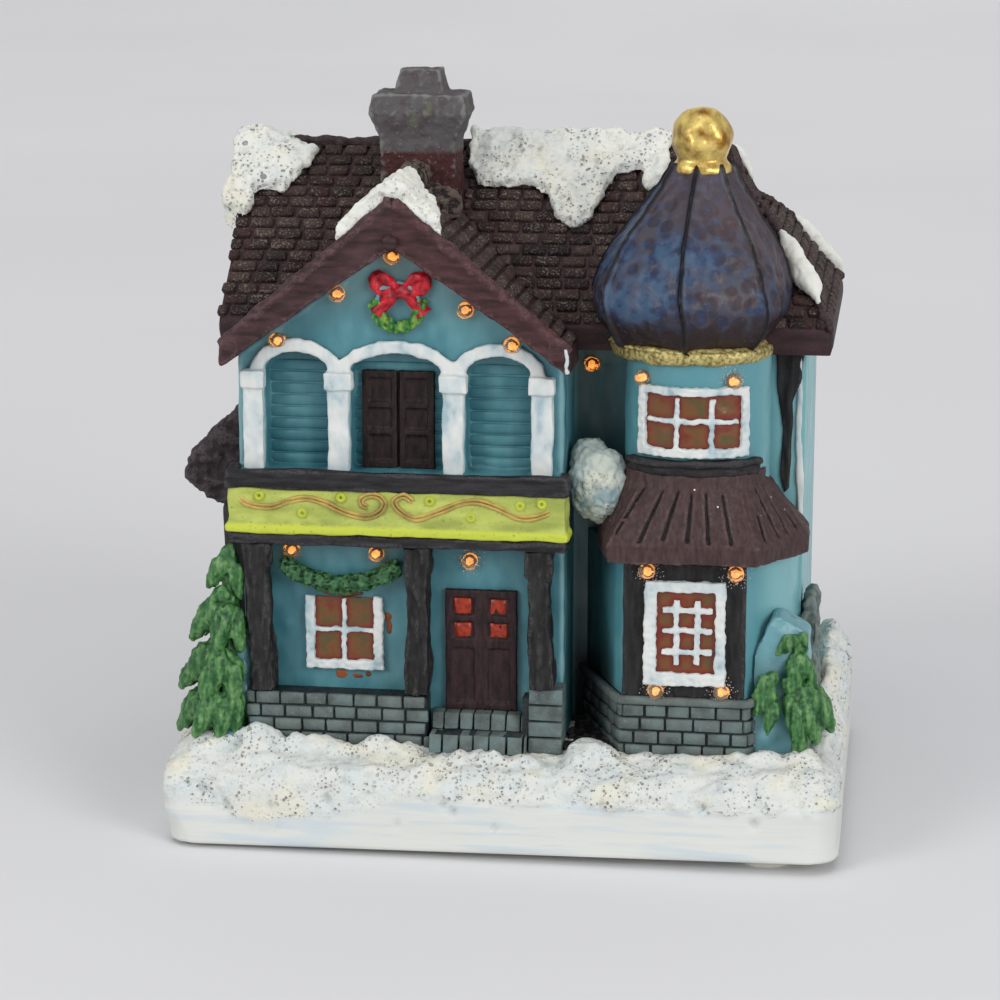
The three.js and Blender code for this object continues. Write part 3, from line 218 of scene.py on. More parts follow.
def pores(coat, size, radius, share, shift=0.0):
    """Round pores and their pale rims: one in each cell of that size, in a share of the cells."""
    vector = place_of(coat, size, shift=(shift, shift * 0.7, shift * 1.3))
    cells = node(coat, "ShaderNodeTexVoronoi", {"Vector": vector, "Scale": 1.0})
    split = node(coat, "ShaderNodeSeparateColor", {"Color": cells.outputs["Color"]})
    chosen = maths(coat, "GREATER_THAN", split.outputs["Red"], 1.0 - share)
    reach = plus(coat, times(coat, split.outputs["Green"], radius), radius * 0.5)
    edge = maths(coat, "DIVIDE", cells.outputs["Distance"], reach)
    hole = times(coat, between(coat, edge, 1.1, 0.8), chosen)
    rim = times(coat, between(coat, edge, 2.2, 1.15), chosen)
    return hole, rim


def relief(coat, height, depth, under=None):
    """Bump of the given depth in millimetres."""
    inputs = {"Height": height, "Distance": depth * MM, "Strength": 1.0}
    if under is not None:
        inputs["Normal"] = under
    return node(coat, "ShaderNodeBump", inputs).outputs["Normal"]


def finish(coat, colour, roughness=None, normal=None, glow=None):
    shader = coat.node_tree.nodes["Principled BSDF"]
    for socket, output in (("Base Color", colour), ("Roughness", roughness), ("Normal", normal),
                           ("Emission Color", glow)):
        if output is not None:
            coat.node_tree.links.new(output, shader.inputs[socket])
    return coat


# Finishes of the casting
def snow_paint(name, cream, cool, strokes_over, share=0.6):
    """Cast snow: smooth and brushed low down, a porous crust where the piece carries froth, with painted
    shade darkening its pores and hollows.
    """
    coat = paint(name, 0.8, specular=0.2)
    froth = carried(coat, "froth")
    strokes = grain(coat, 1.5, 4.0, stretch=(14, 14, 1))
    broad = grain(coat, 7.0, stretch=(2.5, 2.5, 1), shift=(3, 1, 7))
    brushed = times(coat, between(coat, strokes, 0.46, 0.62), between(coat, broad, 0.4, 0.6, 0.2))
    cooler = between(coat, grain(coat, 4.0, 4.0), 0.4, 0.62)
    warmer = between(coat, grain(coat, 9.0, shift=(8, 2, 5)), 0.5, 0.64, 0.0, 0.6)
    crust = coated(coat, cream, (cooler, cool), (warmer, rgb(212, 208, 188)))
    holes, rims = pores(coat, 0.95, 0.2, share)
    for size, radius, part, shift in ((0.6, 0.17, share, 3.3), (3.0, 0.13, share * 0.7, 7.7)):
        more_holes, more_rims = pores(coat, size, radius, part, shift)
        holes = maths(coat, "MAXIMUM", holes, more_holes)
        rims = maths(coat, "MAXIMUM", rims, more_rims)
    crowd = between(coat, grain(coat, 5.5, 2.0, shift=(1, 6, 3)), 0.4, 0.58, 0.15)
    holes = times(coat, times(coat, holes, froth), crowd)
    rims = times(coat, times(coat, rims, froth), crowd)
    colour = coated(coat, cream, (brushed, strokes_over), (froth, crust),
                    (times(coat, rims, 0.35), rgb(220, 221, 214)),
                    # painted shade: greyer in the hollows
                    (marked(coat, "hollow", 0.03, 0.3, 0.5), rgb(168, 176, 176)),
                    # painted shade: the pores are painted dark inside
                    (times(coat, holes, 0.75), rgb(88, 92, 90)))
    fine = times(coat, grain(coat, 0.7, 4.0), froth)
    height = plus(coat, times(coat, rims, 0.5), fine)
    height = maths(coat, "SUBTRACT", height, times(coat, holes, 1.6))
    return finish(coat, colour, normal=relief(coat, strokes, 0.12, relief(coat, height, 0.2)))


def wall_paint():
    """Teal, bluer to the right and paler at the far right, where the paleness is painted light for the
    light that falls there from the right; darker in the recess between the wing and the bay, partly its
    own dark paint and partly painted shade.
    """
    coat = paint("teal_wall", 0.36, specular=0.45)
    x, y, z = (along(coat, axis) for axis in "XYZ")
    brush = grain(coat, 2.4, 5.0, stretch=(1, 1, 2.5))
    mixed = plus(coat, times(coat, grain(coat, 14.0), 0.65), times(coat, brush, 0.35))
    patch = between(coat, grain(coat, 5.0, stretch=(1, 1, 3)), 0.42, 0.6, 0.75)
    recess = times(coat, between(coat, x, 7.0, 8.5), between(coat, x, 18.5, 13.0))
    recess = times(coat, recess, between(coat, y, -28.3, -26.0))
    recess = times(coat, recess, between(coat, y, 0.0, -4.0))
    colour = shades(coat, mixed, (0.34, rgb(54, 104, 116)), (0.5, rgb(70, 122, 132)),
                    (0.66, rgb(90, 140, 147)))
    colour = coated(coat, colour,
                    (between(coat, x, 12.0, 26.0, 0.0, 0.75), rgb(88, 142, 152)),
                    # painted light: the walls at the far right are painted paler for the light that
                    # falls on them from the right
                    (between(coat, x, 38.0, 42.0, 0.0, 0.85), rgb(120, 172, 176)),
                    (between(coat, z, 82.0, 99.0, 0.0, 0.45), rgb(132, 150, 146)),
                    (marked(coat, "wear", 0.02, 0.16, 0.55), rgb(136, 176, 180)),
                    # painted shade: the wall is painted darker in its hollows
                    (marked(coat, "hollow", 0.02, 0.2, 0.6), rgb(30, 60, 68)),
                    # the recess between the wing and the bay: partly dark paint and partly painted
                    # shade, near black at its foot
                    (times(coat, recess, patch), rgb(46, 80, 84)),
                    (times(coat, recess, between(coat, z, 38.0, 24.0)), rgb(30, 32, 32)))
    return finish(coat, colour, between(coat, brush, 0.3, 0.7, 0.28, 0.5), relief(coat, brush, 0.07))


def shingle_paint():
    coat = paint("shingle_brown", 0.75, specular=0.3)
    speck = grain(coat, 0.36, 4.0)
    dusted = times(coat, between(coat, speck, 0.5, 0.68),
                   between(coat, grain(coat, 7.0), 0.36, 0.66, 0.3, 0.95))
    reddish = between(coat, grain(coat, 4.0, shift=(2, 8, 4)), 0.52, 0.66, 0.0, 0.5)
    colour = coated(coat, rgb(34, 25, 25), (carried(coat, "tone"), rgb(66, 54, 50)),
                    (dusted, rgb(128, 116, 106)), (reddish, rgb(62, 34, 33)),
                    (marked(coat, "wear", 0.01, 0.08, 0.5), rgb(112, 98, 90)))
    return finish(coat, colour, normal=relief(coat, speck, 0.3))


def board_paint(name, deep, lit, size=1.0, stretch=(1, 1, 1), turn=(0, 0, 0), speck=0.0):
    coat = paint(name, 0.6, specular=0.3)
    streak = grain(coat, size, 5.0, stretch, turn)
    fine = grain(coat, 0.4)
    worn = times(coat, marked(coat, "wear", 0.02, 0.12, 0.5), between(coat, fine, 0.35, 0.6))
    pale = tuple(min(1.0, 2.2 * value + 0.03) for value in lit[:3]) + (1.0,)
    colour = coated(coat, shades(coat, streak, (0.36, deep), (0.66, lit)), (worn, pale),
                    (marked(coat, "seam", 0.2, 0.6), rgb(20, 12, 12)))
    if speck:
        dots, _ = pores(coat, 1.7, 0.07, speck)
        colour = coated(coat, colour, (dots, rgb(205, 196, 190)))
    normal = relief(coat, fine, 0.05, relief(coat, streak, 0.12))
    return finish(coat, colour, between(coat, fine, 0.3, 0.7, 0.5, 0.72), normal)


def stone_paint(name="grey_stone", warm=0.0):
    """Grey stone, with painted shade in the recess. A warm one has mauve and mossy patches and a maroon
    foot.
    """
    coat = paint(name, 0.72, specular=0.3)
    fine = grain(coat, 0.5, 4.0)
    colour = shades(coat, grain(coat, 3.6, 4.0), (0.36, rgb(72, 82, 81)), (0.52, rgb(92, 103, 100)),
                    (0.68, rgb(96, 116, 116)))
    if warm:
        mauve = between(coat, grain(coat, 3.0, shift=(4, 4, 1)), 0.5, 0.62, 0.0, 0.7)
        moss = between(coat, grain(coat, 2.4, 2.0, shift=(1, 7, 2)), 0.6, 0.7, 0.0, 0.6)
        foot = between(coat, along(coat, "Z"), 111.4, 110.6)
        colour = coated(coat, colour, (warm, rgb(80, 75, 77)), (mauve, rgb(72, 62, 66)),
                        (moss, rgb(96, 98, 78)), (foot, rgb(62, 32, 32)))
    x = along(coat, "X")
    # painted shade: the stones in the recess between the wing and the bay are painted dark
    painted_recess_shade = times(coat, between(coat, x, 20.0, 11.0), between(coat, x, 7.9, 8.6))
    painted_recess_shade = times(coat, painted_recess_shade, between(coat, along(coat, "Y"), 4.0, 0.0, 0.0, 0.8))
    colour = coated(coat, colour, (times(coat, carried(coat, "tone"), 0.3), rgb(110, 116, 112)),
                    (painted_recess_shade, rgb(34, 40, 41)),
                    (marked(coat, "wear", 0.02, 0.12, 0.45), rgb(134, 138, 132)),
                    (between(coat, fine, 0.6, 0.76, 0.0, 0.45), rgb(142, 146, 142)))
    return finish(coat, colour, normal=relief(coat, fine, 0.14))


def white_trim_paint():
    coat = paint("brushed_white", 0.6, specular=0.35)
    patch = grain(coat, 3.0, 5.0, stretch=(1, 1, 1.8))
    rubbed = times(coat, marked(coat, "wear", 0.12, 0.4, 0.6),
                   between(coat, grain(coat, 1.6), 0.45, 0.6))
    colour = shades(coat, patch, (0.33, rgb(150, 172, 178)), (0.43, rgb(184, 194, 196)),
                    (0.6, rgb(204, 207, 204)))
    # painted shade: bluish grey in the hollows
    colour = coated(coat, colour, (marked(coat, "hollow", 0.03, 0.2, 0.75), rgb(112, 150, 158)),
                    (rubbed, rgb(128, 150, 156)),
                    (between(coat, grain(coat, 0.5), 0.64, 0.8, 0.0, 0.5), rgb(172, 190, 194)))
    return finish(coat, colour, normal=relief(coat, patch, 0.1))


def dome_paint():
    """Mottled blue, maroon low down and to the right, with black seams and painted highlights in rings
    round the hammer dents.
    """
    coat = paint("dome_blue", 0.45, specular=0.35)
    x, z = along(coat, "X"), along(coat, "Z")
    mottle = grain(coat, 2.2, 4.0)
    fine = grain(coat, 0.8)
    side = between(coat, x, 14.0, 42.0, 0.1, -0.1)
    lean = plus(coat, plus(coat, grain(coat, 9.0, 2.0), side), mottle)
    colour = shades(coat, times(coat, lean, 0.5), (0.41, rgb(56, 42, 46)), (0.48, rgb(44, 44, 58)),
                    (0.54, rgb(36, 50, 78)), (0.62, rgb(52, 76, 102)))
    marks = node(coat, "ShaderNodeTexVoronoi", {"Vector": place_of(coat, 2.6), "Scale": 1.0})
    dents_and_sheen = marks.outputs["Distance"]
    low = between(coat, plus(coat, z, times(coat, mottle, 5.0)), 92.5, 88.0)
    high = between(coat, plus(coat, z, times(coat, x, 0.5)), 112.0, 122.0, 0.0, 0.6)
    # painted highlight: paler rings at the edges of the hammer dents
    colour = coated(coat, colour, (between(coat, dents_and_sheen, 0.42, 0.62, 0.0, 0.3), rgb(84, 92, 108)),
                    (low, rgb(38, 26, 27)), (high, rgb(74, 62, 66)),
                    (between(coat, fine, 0.6, 0.75, 0.0, 0.25), rgb(96, 98, 110)),
                    (marked(coat, "seam", 0.25, 0.7), rgb(16, 14, 20)))
    normal = relief(coat, fine, 0.06, relief(coat, dents_and_sheen, 0.2))
    return finish(coat, colour, between(coat, mottle, 0.35, 0.65, 0.38, 0.58), normal)


def gold_paint(name, dark, bright, size, depth, roughness):
    coat = paint(name, roughness, metallic=0.6)
    crumple = grain(coat, size, 4.0)
    fine = grain(coat, size * 0.35, shift=(4, 9, 2))
    colour = coated(coat, shades(coat, crumple, (0.34, dark), (0.6, bright)),
                    # painted shade: dark in the hollows
                    (marked(coat, "hollow", 0.02, 0.12, 0.8), dark))
    return finish(coat, colour, normal=relief(coat, fine, depth * 0.4, relief(coat, crumple, depth)))


def panel_paint():
    coat = paint("panel_green", 0.5, specular=0.35)
    patch = grain(coat, 3.0, 4.0, stretch=(2.5, 1, 1))
    fine = grain(coat, 0.5, 4.0)
    colour = coated(coat, shades(coat, patch, (0.36, rgb(142, 152, 74)), (0.6, rgb(174, 184, 92))),
                    (between(coat, along(coat, "Z"), 53.6, 52.9), rgb(180, 190, 66)),
                    (between(coat, fine, 0.6, 0.74, 0.0, 0.6), rgb(96, 104, 44)),
                    # painted shade: darker in the hollows
                    (marked(coat, "hollow", 0.02, 0.12, 0.5), rgb(104, 112, 40)))
    return finish(coat, colour, normal=relief(coat, fine, 0.08))


def leaf_paint(name, deep, middle, lit):
    coat = paint(name, 0.45, specular=0.4)
    patch = grain(coat, 0.9, 4.0, stretch=(1, 1, 3.5))
    colour = coated(coat, shades(coat, patch, (0.3, deep), (0.48, middle), (0.76, lit)),
                    # painted shade: the deep green in the hollows
                    (marked(coat, "hollow", 0.01, 0.14, 0.85), deep),
                    (marked(coat, "wear", 0.03, 0.2, 0.4), lit))
    return finish(coat, colour, normal=relief(coat, grain(coat, 0.5), 0.12))


def ribbon_paint():
    coat = paint("ribbon_red", 0.42, specular=0.4)
    patch = grain(coat, 1.4, 4.0)
    colour = coated(coat, shades(coat, patch, (0.36, rgb(120, 16, 30)), (0.6, rgb(196, 26, 44))),
                    # painted shade: dark red in the hollows
                    (marked(coat, "hollow", 0.01, 0.12, 0.8), rgb(88, 8, 20)))
    return finish(coat, colour, normal=relief(coat, grain(coat, 0.5), 0.08))


def pane_paint():
    """Brown panes with a rusty, then black rim along their bars."""
    coat = paint("pane_brown", 0.25, specular=0.5)
    colour = shades(coat, grain(coat, 3.2), (0.34, rgb(104, 38, 20)), (0.5, rgb(106, 66, 32)),
                    (0.64, rgb(80, 70, 38)))
    colour = coated(coat, colour, (marked(coat, "rim", 0.15, 0.85, 0.75), rgb(112, 32, 18)),
                    (marked(coat, "rim", 0.86, 1.0, 0.8), rgb(34, 18, 14)))
    return finish(coat, colour, normal=relief(coat, grain(coat, 1.2), 0.12))


def stronger(colour, factor):
    return tuple(min(1.0, value * factor) for value in colour[:3]) + (1.0,)


def moulded(name, colour, roughness, size=0.6, depth=0.04, metallic=0.0, spread=0.12):
    """A plain moulded or metal finish with a fine grain and slight colour drift."""
    coat = paint(name, roughness, metallic)
    fine = grain(coat, size)
    tint = shades(coat, grain(coat, size * 8), (0.35, stronger(colour, 1 - spread)),
                  (0.65, stronger(colour, 1 + spread)))
    level = between(coat, fine, 0.3, 0.7, roughness * 0.85, min(1.0, roughness * 1.15))
    return finish(coat, tint, level, relief(coat, fine, depth))


def glow_paint(name, colour, strength):
    coat = paint(name, 0.3, Emission_Strength=strength)
    patch = grain(coat, 0.8, 2.0)
    tint = shades(coat, patch, (0.35, stronger(colour, 0.55)), (0.6, colour))
    return finish(coat, tint, normal=relief(coat, patch, 0.05), glow=tint)


def bead_paint():
    coat = paint("clear_glue", 0.1, specular=0.6, Transmission_Weight=0.85, IOR=1.28)
    patch = grain(coat, 0.7)
    colour = shades(coat, patch, (0.35, rgb(236, 214, 176)), (0.65, rgb(250, 244, 232)))
    return finish(coat, colour, normal=relief(coat, patch, 0.06))


SNOW = snow_paint("snow_cream", rgb(204, 206, 201), rgb(196, 203, 202), rgb(190, 199, 203), 0.85)
SNOW_CAP = snow_paint("snow_cap", rgb(212, 212, 204), rgb(202, 205, 201), rgb(198, 204, 206), 0.95)
SNOW_SMOOTH = snow_paint("snow_smooth", rgb(216, 216, 208), rgb(206, 208, 202), rgb(204, 208, 206))
SNOW_BLUE = snow_paint("snow_blue", rgb(168, 178, 170), rgb(122, 144, 150), rgb(136, 156, 162), 0.9)
TEAL = wall_paint()
SHINGLE = shingle_paint()
ROOF_CORE = board_paint("roof_core", rgb(30, 20, 21), rgb(50, 35, 36))
BARGE = board_paint("barge_maroon", rgb(44, 28, 29), rgb(72, 50, 52), 1.1, (5, 5, 1), (0, 0.67, 0))
BARGE_RIGHT = board_paint("barge_maroon_right", rgb(46, 27, 28), rgb(74, 48, 49), 1.1, (5, 5, 1),
                          (0, -0.67, 0))
FASCIA = board_paint("fascia_maroon", rgb(44, 29, 32), rgb(62, 42, 45), 1.4, (4, 4, 1))
LEAN_TO = board_paint("lean_to_maroon", rgb(32, 24, 26), rgb(54, 45, 48), 1.2)
BAY_BROWN = board_paint("bay_roof_brown", rgb(56, 41, 41), rgb(72, 55, 54), 0.6, (1, 1, 4), speck=0.3)
STONE = stone_paint()
CHIMNEY_STONE = stone_paint("chimney_stone", 0.9)
JOINT = board_paint("stone_joint", rgb(26, 30, 31), rgb(44, 52, 54))
WHITE = white_trim_paint()
BLACK = board_paint("black_upright", rgb(20, 20, 21), rgb(42, 41, 42), 0.8, (1, 1, 7))
BLACK_ACROSS = board_paint("black_across", rgb(24, 23, 25), rgb(46, 44, 46), 0.8, (8, 1, 1))
DOOR = board_paint("door_brown", rgb(26, 17, 16), rgb(44, 30, 28), 0.8, (1, 1, 4), speck=0.1)
DOOR_RED = board_paint("door_maroon", rgb(32, 20, 21), rgb(54, 35, 37), 0.8, (1, 1, 4), speck=0.08)
DOME = dome_paint()
GOLD_RING = gold_paint("gold_sponge", rgb(118, 104, 60), rgb(194, 180, 120), 0.6, 0.12, 0.5)
GOLD_BALL = gold_paint("gold_leaf", rgb(138, 96, 34), rgb(226, 200, 118), 2.6, 0.16, 0.34)
PANEL = panel_paint()
SCROLL = moulded("scroll_gold", rgb(168, 142, 78), 0.45, 0.4, 0.05, 0.2, 0.3)
RING_DOT = moulded("ring_dot", rgb(170, 180, 58), 0.5, 0.3, 0.03)
LEAF = leaf_paint("leaf_green", rgb(22, 60, 32), rgb(48, 98, 50), rgb(112, 150, 96))
GARLAND = leaf_paint("garland_green", rgb(14, 44, 24), rgb(38, 82, 46), rgb(76, 120, 78))
WREATH = leaf_paint("wreath_green", rgb(16, 66, 30), rgb(60, 124, 50), rgb(138, 160, 62))
RED = ribbon_paint()
PANE = pane_paint()
RUST = moulded("rust_smear", rgb(122, 66, 36), 0.5, 0.5, 0.05, 0.0, 0.4)
DOOR_GLOW = glow_paint("door_glow", rgb(150, 48, 24), 0.1)
GLOW = glow_paint("fibre_glow", rgb(255, 162, 70), 1.5)
SOCKET = board_paint("fibre_socket", rgb(52, 22, 16), rgb(96, 44, 28))
BEAD = bead_paint()
RESIN_BLUE = moulded("resin_blue", rgb(96, 142, 150), 0.3, 1.2, 0.1, spread=0.3)
COVER = moulded("cover_plastic", rgb(206, 202, 190), 0.5)
BOX = moulded("box_plastic", rgb(38, 39, 45), 0.5)
RUBBER = moulded("foot_rubber", rgb(214, 211, 200), 0.8, 0.4, 0.06)
WRAP = moulded("cell_wrap", rgb(50, 108, 140), 0.3, 2.0, 0.01)
STEEL = moulded("spring_steel", rgb(186, 188, 194), 0.28, 0.5, 0.02, 1.0)
CLEAR = moulded("lamp_clear", rgb(240, 230, 200), 0.12, 0.5, 0.01)
RED_COAT = moulded("wire_coat_red", rgb(170, 36, 30), 0.5)
BLACK_COAT = moulded("wire_coat_black", rgb(26, 26, 27), 0.5)


# Shapes
def only(items, kind):
    return [item for item in items if isinstance(item, kind)]


def part_way(value, start, end):
    """How far a value lies from start to end, from 0 to 1."""
    return min(max((value - start) / (end - start), 0.0), 1.0)


def add_box(shape, low, high, round_edge=0.0, tone=None):
    """A block between two corners, with its edges taken off."""
    size = Vector(high) - Vector(low)
    middle = (Vector(high) + Vector(low)) / 2
    matrix = Matrix.Translation(middle) @ Matrix.Diagonal(size).to_4x4()
    return add_block(shape, matrix, round_edge, tone)


def take_off(shape, edges, width, segments=2):
    """Takes the edges off a shape."""
    bmesh.ops.bevel(shape, geom=edges, offset=width, segments=segments, profile=0.5,
                    affect="EDGES", material=-1, clamp_overlap=True)


def add_block(shape, matrix, round_edge=0.0, tone=None):
    verts = bmesh.ops.create_cube(shape, size=1.0, matrix=matrix)["verts"]
    if tone is not None:
        layer = shape.verts.layers.float["tone"]
        for vert in verts:
            vert[layer] = tone
    if round_edge:
        take_off(shape, list({edge for vert in verts for edge in vert.link_edges}), round_edge, 1)
    return verts


def toned():
    shape = bmesh.new()
    shape.verts.layers.float.new("tone")
    return shape


def push_out(shape, faces, push):
    """Pushes faces out by a vector into a solid, and gives the points that moved."""
    moved = only(bmesh.ops.extrude_face_region(shape, geom=faces)["geom"], bmesh.types.BMVert)
    bmesh.ops.translate(shape, verts=moved, vec=push)
    return moved


def add_outline(shape, points, push):
    """A flat outline pushed out by a vector into a solid."""
    verts = [shape.verts.new(point) for point in points]
    face = shape.faces.new(verts)
    return verts + push_out(shape, [face], push)


def add_facade(shape, points, front, back):
    return add_outline(shape, [(x, front, z) for x, z in points], (0, back - front, 0))


def add_turned(shape, profile, centre, steps, start=0.0, angle=2 * math.pi):
    """A profile of radius and height turned about an upright axis."""
    x, y = centre
    turn = Matrix.Rotation(start, 3, "Z")
    chain = [shape.verts.new(Vector((x, y, z)) + turn @ Vector((r, 0, 0))) for r, z in profile]
    edges = [shape.edges.new(pair) for pair in zip(chain, chain[1:])]
    bmesh.ops.spin(shape, geom=chain + edges, cent=(x, y, 0), axis=(0, 0, 1), angle=angle,
                   steps=steps, use_merge=abs(angle - 2 * math.pi) < 1e-6)
    bmesh.ops.remove_doubles(shape, verts=shape.verts, dist=0.004)


def add_ball(shape, centre, radii, fine=3):
    matrix = Matrix.Translation(centre) @ Matrix.Diagonal(Vector(radii)).to_4x4()
    return bmesh.ops.create_icosphere(shape, subdivisions=fine, radius=1.0, matrix=matrix)["verts"]


def smooth_line(points, steps):
    """A soft line through the points, as a list with steps to each stretch."""
    found = []
    last = len(points) - 1
    for i in range(last):
        a, b, c, d = (Vector(points[min(max(i + k, 0), last)]) for k in (-1, 0, 1, 2))
        for j in range(steps):
            t = j / steps
            found.append(0.5 * (2 * b + (c - a) * t + (2 * a - 5 * b + 4 * c - d) * t * t
                                + (3 * b - a - 3 * c + d) * t ** 3))
    return found + [Vector(points[last])]


def heading(line, i):
    """The way that a line runs at one of its points."""
    return (line[min(i + 1, len(line) - 1)] - line[max(i - 1, 0)]).normalized()


def add_rod(shape, line, radii, sides=8, up=(0, 1, 0)):
    """A round rod along a line, its radius given at each point."""
    rings = []
    for i, point in enumerate(line):
        way = heading(line, i)
        side = way.cross(Vector(up)).normalized()
        over = side.cross(way)
        axes = Matrix((side, over, way)).transposed().to_4x4()
        rings.append(Matrix.Translation(point) @ axes @ Matrix.Scale(radii[i], 4))
    verts = bmesh.ops.create_circle(shape, segments=sides, radius=1.0, cap_ends=True,
                                    matrix=rings[0])["verts"]
    edges = list({edge for vert in verts for edge in vert.link_edges})
    for before, after in zip(rings, rings[1:]):
        grown = bmesh.ops.extrude_edge_only(shape, edges=edges)["geom"]
        verts = only(grown, bmesh.types.BMVert)
        edges = only(grown, bmesh.types.BMEdge)
        bmesh.ops.transform(shape, matrix=after @ before.inverted(), verts=verts)
    bmesh.ops.contextual_create(shape, geom=edges)


def node_shape(name):
    """A merged copy of a CAD node, in drawing millimetres."""
    shape = bmesh.new()
    shape.from_mesh(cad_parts[name].data)
    shape.transform(Matrix.Scale(1 / MM, 4))
    shape.transform(Matrix.Translation((-DRAWING_SHIFT, 0, 0)))
    bmesh.ops.remove_doubles(shape, verts=shape.verts, dist=0.005)
    return shape


def keep_side(shape, point, away):
    """Cuts the shape by a plane and keeps what lies against the arrow."""
    geometry = shape.verts[:] + shape.edges[:] + shape.faces[:]
    cut = bmesh.ops.bisect_plane(shape, geom=geometry, dist=0.0005, plane_co=point,
                                 plane_no=away, clear_outer=True)["geom_cut"]
    edges = only(cut, bmesh.types.BMEdge)
    bmesh.ops.triangle_fill(shape, use_beauty=True, edges=edges)
    return shape


def into_scene(name, data):
    """A new object of the scene."""
    made = bpy.data.objects.new(name, data)
    bpy.context.scene.collection.objects.link(made)
    return made


def smooth_object(name, shape):
    """The shape as a smooth-shaded object of the scene."""
    mesh = bpy.data.meshes.new(name)
    shape.to_mesh(mesh)
    shape.free()
    for polygon in mesh.polygons:
        polygon.use_smooth = True
    return into_scene(name, mesh)


def recast(shape, voxel, rounds=3):
    """The shape as one closed skin of small even faces, its edges worn round."""
    bmesh.ops.recalc_face_normals(shape, faces=shape.faces)
    mesh = bpy.data.meshes.new("blank")
    shape.to_mesh(mesh)
    shape.free()
    blank = into_scene("blank", mesh)
    skin_maker = blank.modifiers.new("skin", "REMESH")
    skin_maker.mode = "VOXEL"
    skin_maker.voxel_size = voxel
    skin = bmesh.new()
    skin.from_object(blank, bpy.context.evaluated_depsgraph_get())
    bpy.data.objects.remove(blank)
    bpy.data.meshes.remove(mesh)
    for _ in range(rounds):
        bmesh.ops.smooth_vert(skin, verts=skin.verts, factor=0.5,
                              use_axis_x=True, use_axis_y=True, use_axis_z=True)
    return skin


def roughen(skin, depth, size, seed=0, stretch=(1, 1, 1), bias=0.0, where=None):
    """Moves each point along its normal by smooth noise of that depth and size."""
    skin.normal_update()
    shift = Vector((seed * 17.3, seed * 7.9, seed * 3.1))
    scale = Vector([1.0 / size / part for part in stretch])
    for vert in skin.verts:
        amount = depth if where is None else depth * where(vert.co)
        if amount:
            value = noise.noise(Vector([c * s for c, s in zip(vert.co, scale)]) + shift)
            vert.co += vert.normal * (amount * (value - bias))
    return skin


def pit(skin, count, radius, depth, seed, where):
    """Small round holes at seeded places on the skin."""
    skin.verts.ensure_lookup_table()
    skin.normal_update()
    chance = random.Random(seed)
    places = [vert for vert in skin.verts if where(vert.co)]
    finder = kdtree.KDTree(len(skin.verts))
    for i, vert in enumerate(skin.verts):
        finder.insert(vert.co, i)
    finder.balance()
    for _ in range(count):
        centre = chance.choice(places)
        reach = radius * chance.uniform(0.5, 1.2)
        inward = centre.normal.copy()
        for _, i, distance in finder.find_range(centre.co.copy(), reach):
            fall = 1 - (distance / reach) ** 2
            skin.verts[i].co -= inward * (depth * reach / radius * fall)
    return skin


def mark_wear_and_hollow_shade(skin):
    """Writes how proud or how hollow each point lies, for worn edges and for the painted shade in the
    hollows.
    """
    skin.normal_update()
    values = [0.0] * len(skin.verts)
    skin.verts.index_update()
    for vert in skin.verts:
        middle = Vector()
        for edge in vert.link_edges:
            middle += edge.other_vert(vert).co
        count = max(len(vert.link_edges), 1)
        values[vert.index] = (vert.co - middle / count).dot(vert.normal)
    for _ in range(2):
        eased = values[:]
        for vert in skin.verts:
            near = [values[edge.other_vert(vert).index] for edge in vert.link_edges]
            eased[vert.index] = (values[vert.index] + sum(near)) / (1 + len(near))
        values = eased
    wear = skin.verts.layers.float.new("wear")
    hollow = skin.verts.layers.float.new("hollow")
    for vert in skin.verts:
        value = values[vert.index] * 4
        vert[wear] = max(value, 0.0)
        vert[hollow] = max(-value, 0.0)
    return skin


def mark_froth(skin, share):
    """How frothy the snow is at each point, from 0 to 1."""
    layer = skin.verts.layers.float.new("froth")
    for vert in skin.verts:
        vert[layer] = share(vert.co)
    return skin


def rough_cast(shape, voxel, rounds, *passes):
    """The shape recast, and roughened by each pass of depth, size, seed and stretch."""
    skin = recast(shape, voxel, rounds)
    for strokes in passes:
        roughen(skin, *strokes)
    return skin


def cast(shape, voxel, rounds, *passes):
    """The same, and marked for wear and for the painted shade in its hollows."""
    return mark_wear_and_hollow_shade(rough_cast(shape, voxel, rounds, *passes))


def soften(shape, width):
    """Bevels the sharp edges of a flat-sided shape."""
    bmesh.ops.dissolve_limit(shape, angle_limit=math.radians(1.0), verts=shape.verts,
                             edges=shape.edges, use_dissolve_boundaries=False)
    edges = [edge for edge in shape.edges
             if len(edge.link_faces) == 2 and edge.calc_face_angle() > math.radians(25.0)]
    take_off(shape, edges, width)
    return shape


LOW = [(cad_box[0][i] / MM) - (DRAWING_SHIFT if i == 0 else 0.0) for i in range(3)]
HIGH = [(cad_box[1][i] / MM) - (DRAWING_SHIFT if i == 0 else 0.0) for i in range(3)]


def settle(name, shape, material, slot, *nodes, body="house", sharp=None):
    """The finished piece: in its place in metres, on its body, with its finish."""
    for vert in shape.verts:
        for i in range(3):
            vert.co[i] = min(max(vert.co[i], LOW[i]), HIGH[i])
    bmesh.ops.recalc_face_normals(shape, faces=shape.faces)
    shape.transform(Matrix.Translation((DRAWING_SHIFT, 0, 0)))
    shape.transform(Matrix.Scale(MM, 4))
    piece = smooth_object(name, shape)
    if sharp is not None:
        piece.data.set_sharp_from_angle(angle=math.radians(sharp))
    piece.data.materials.append(material)
    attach(piece, body)
    if nodes:
        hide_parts(*nodes)
    return piece


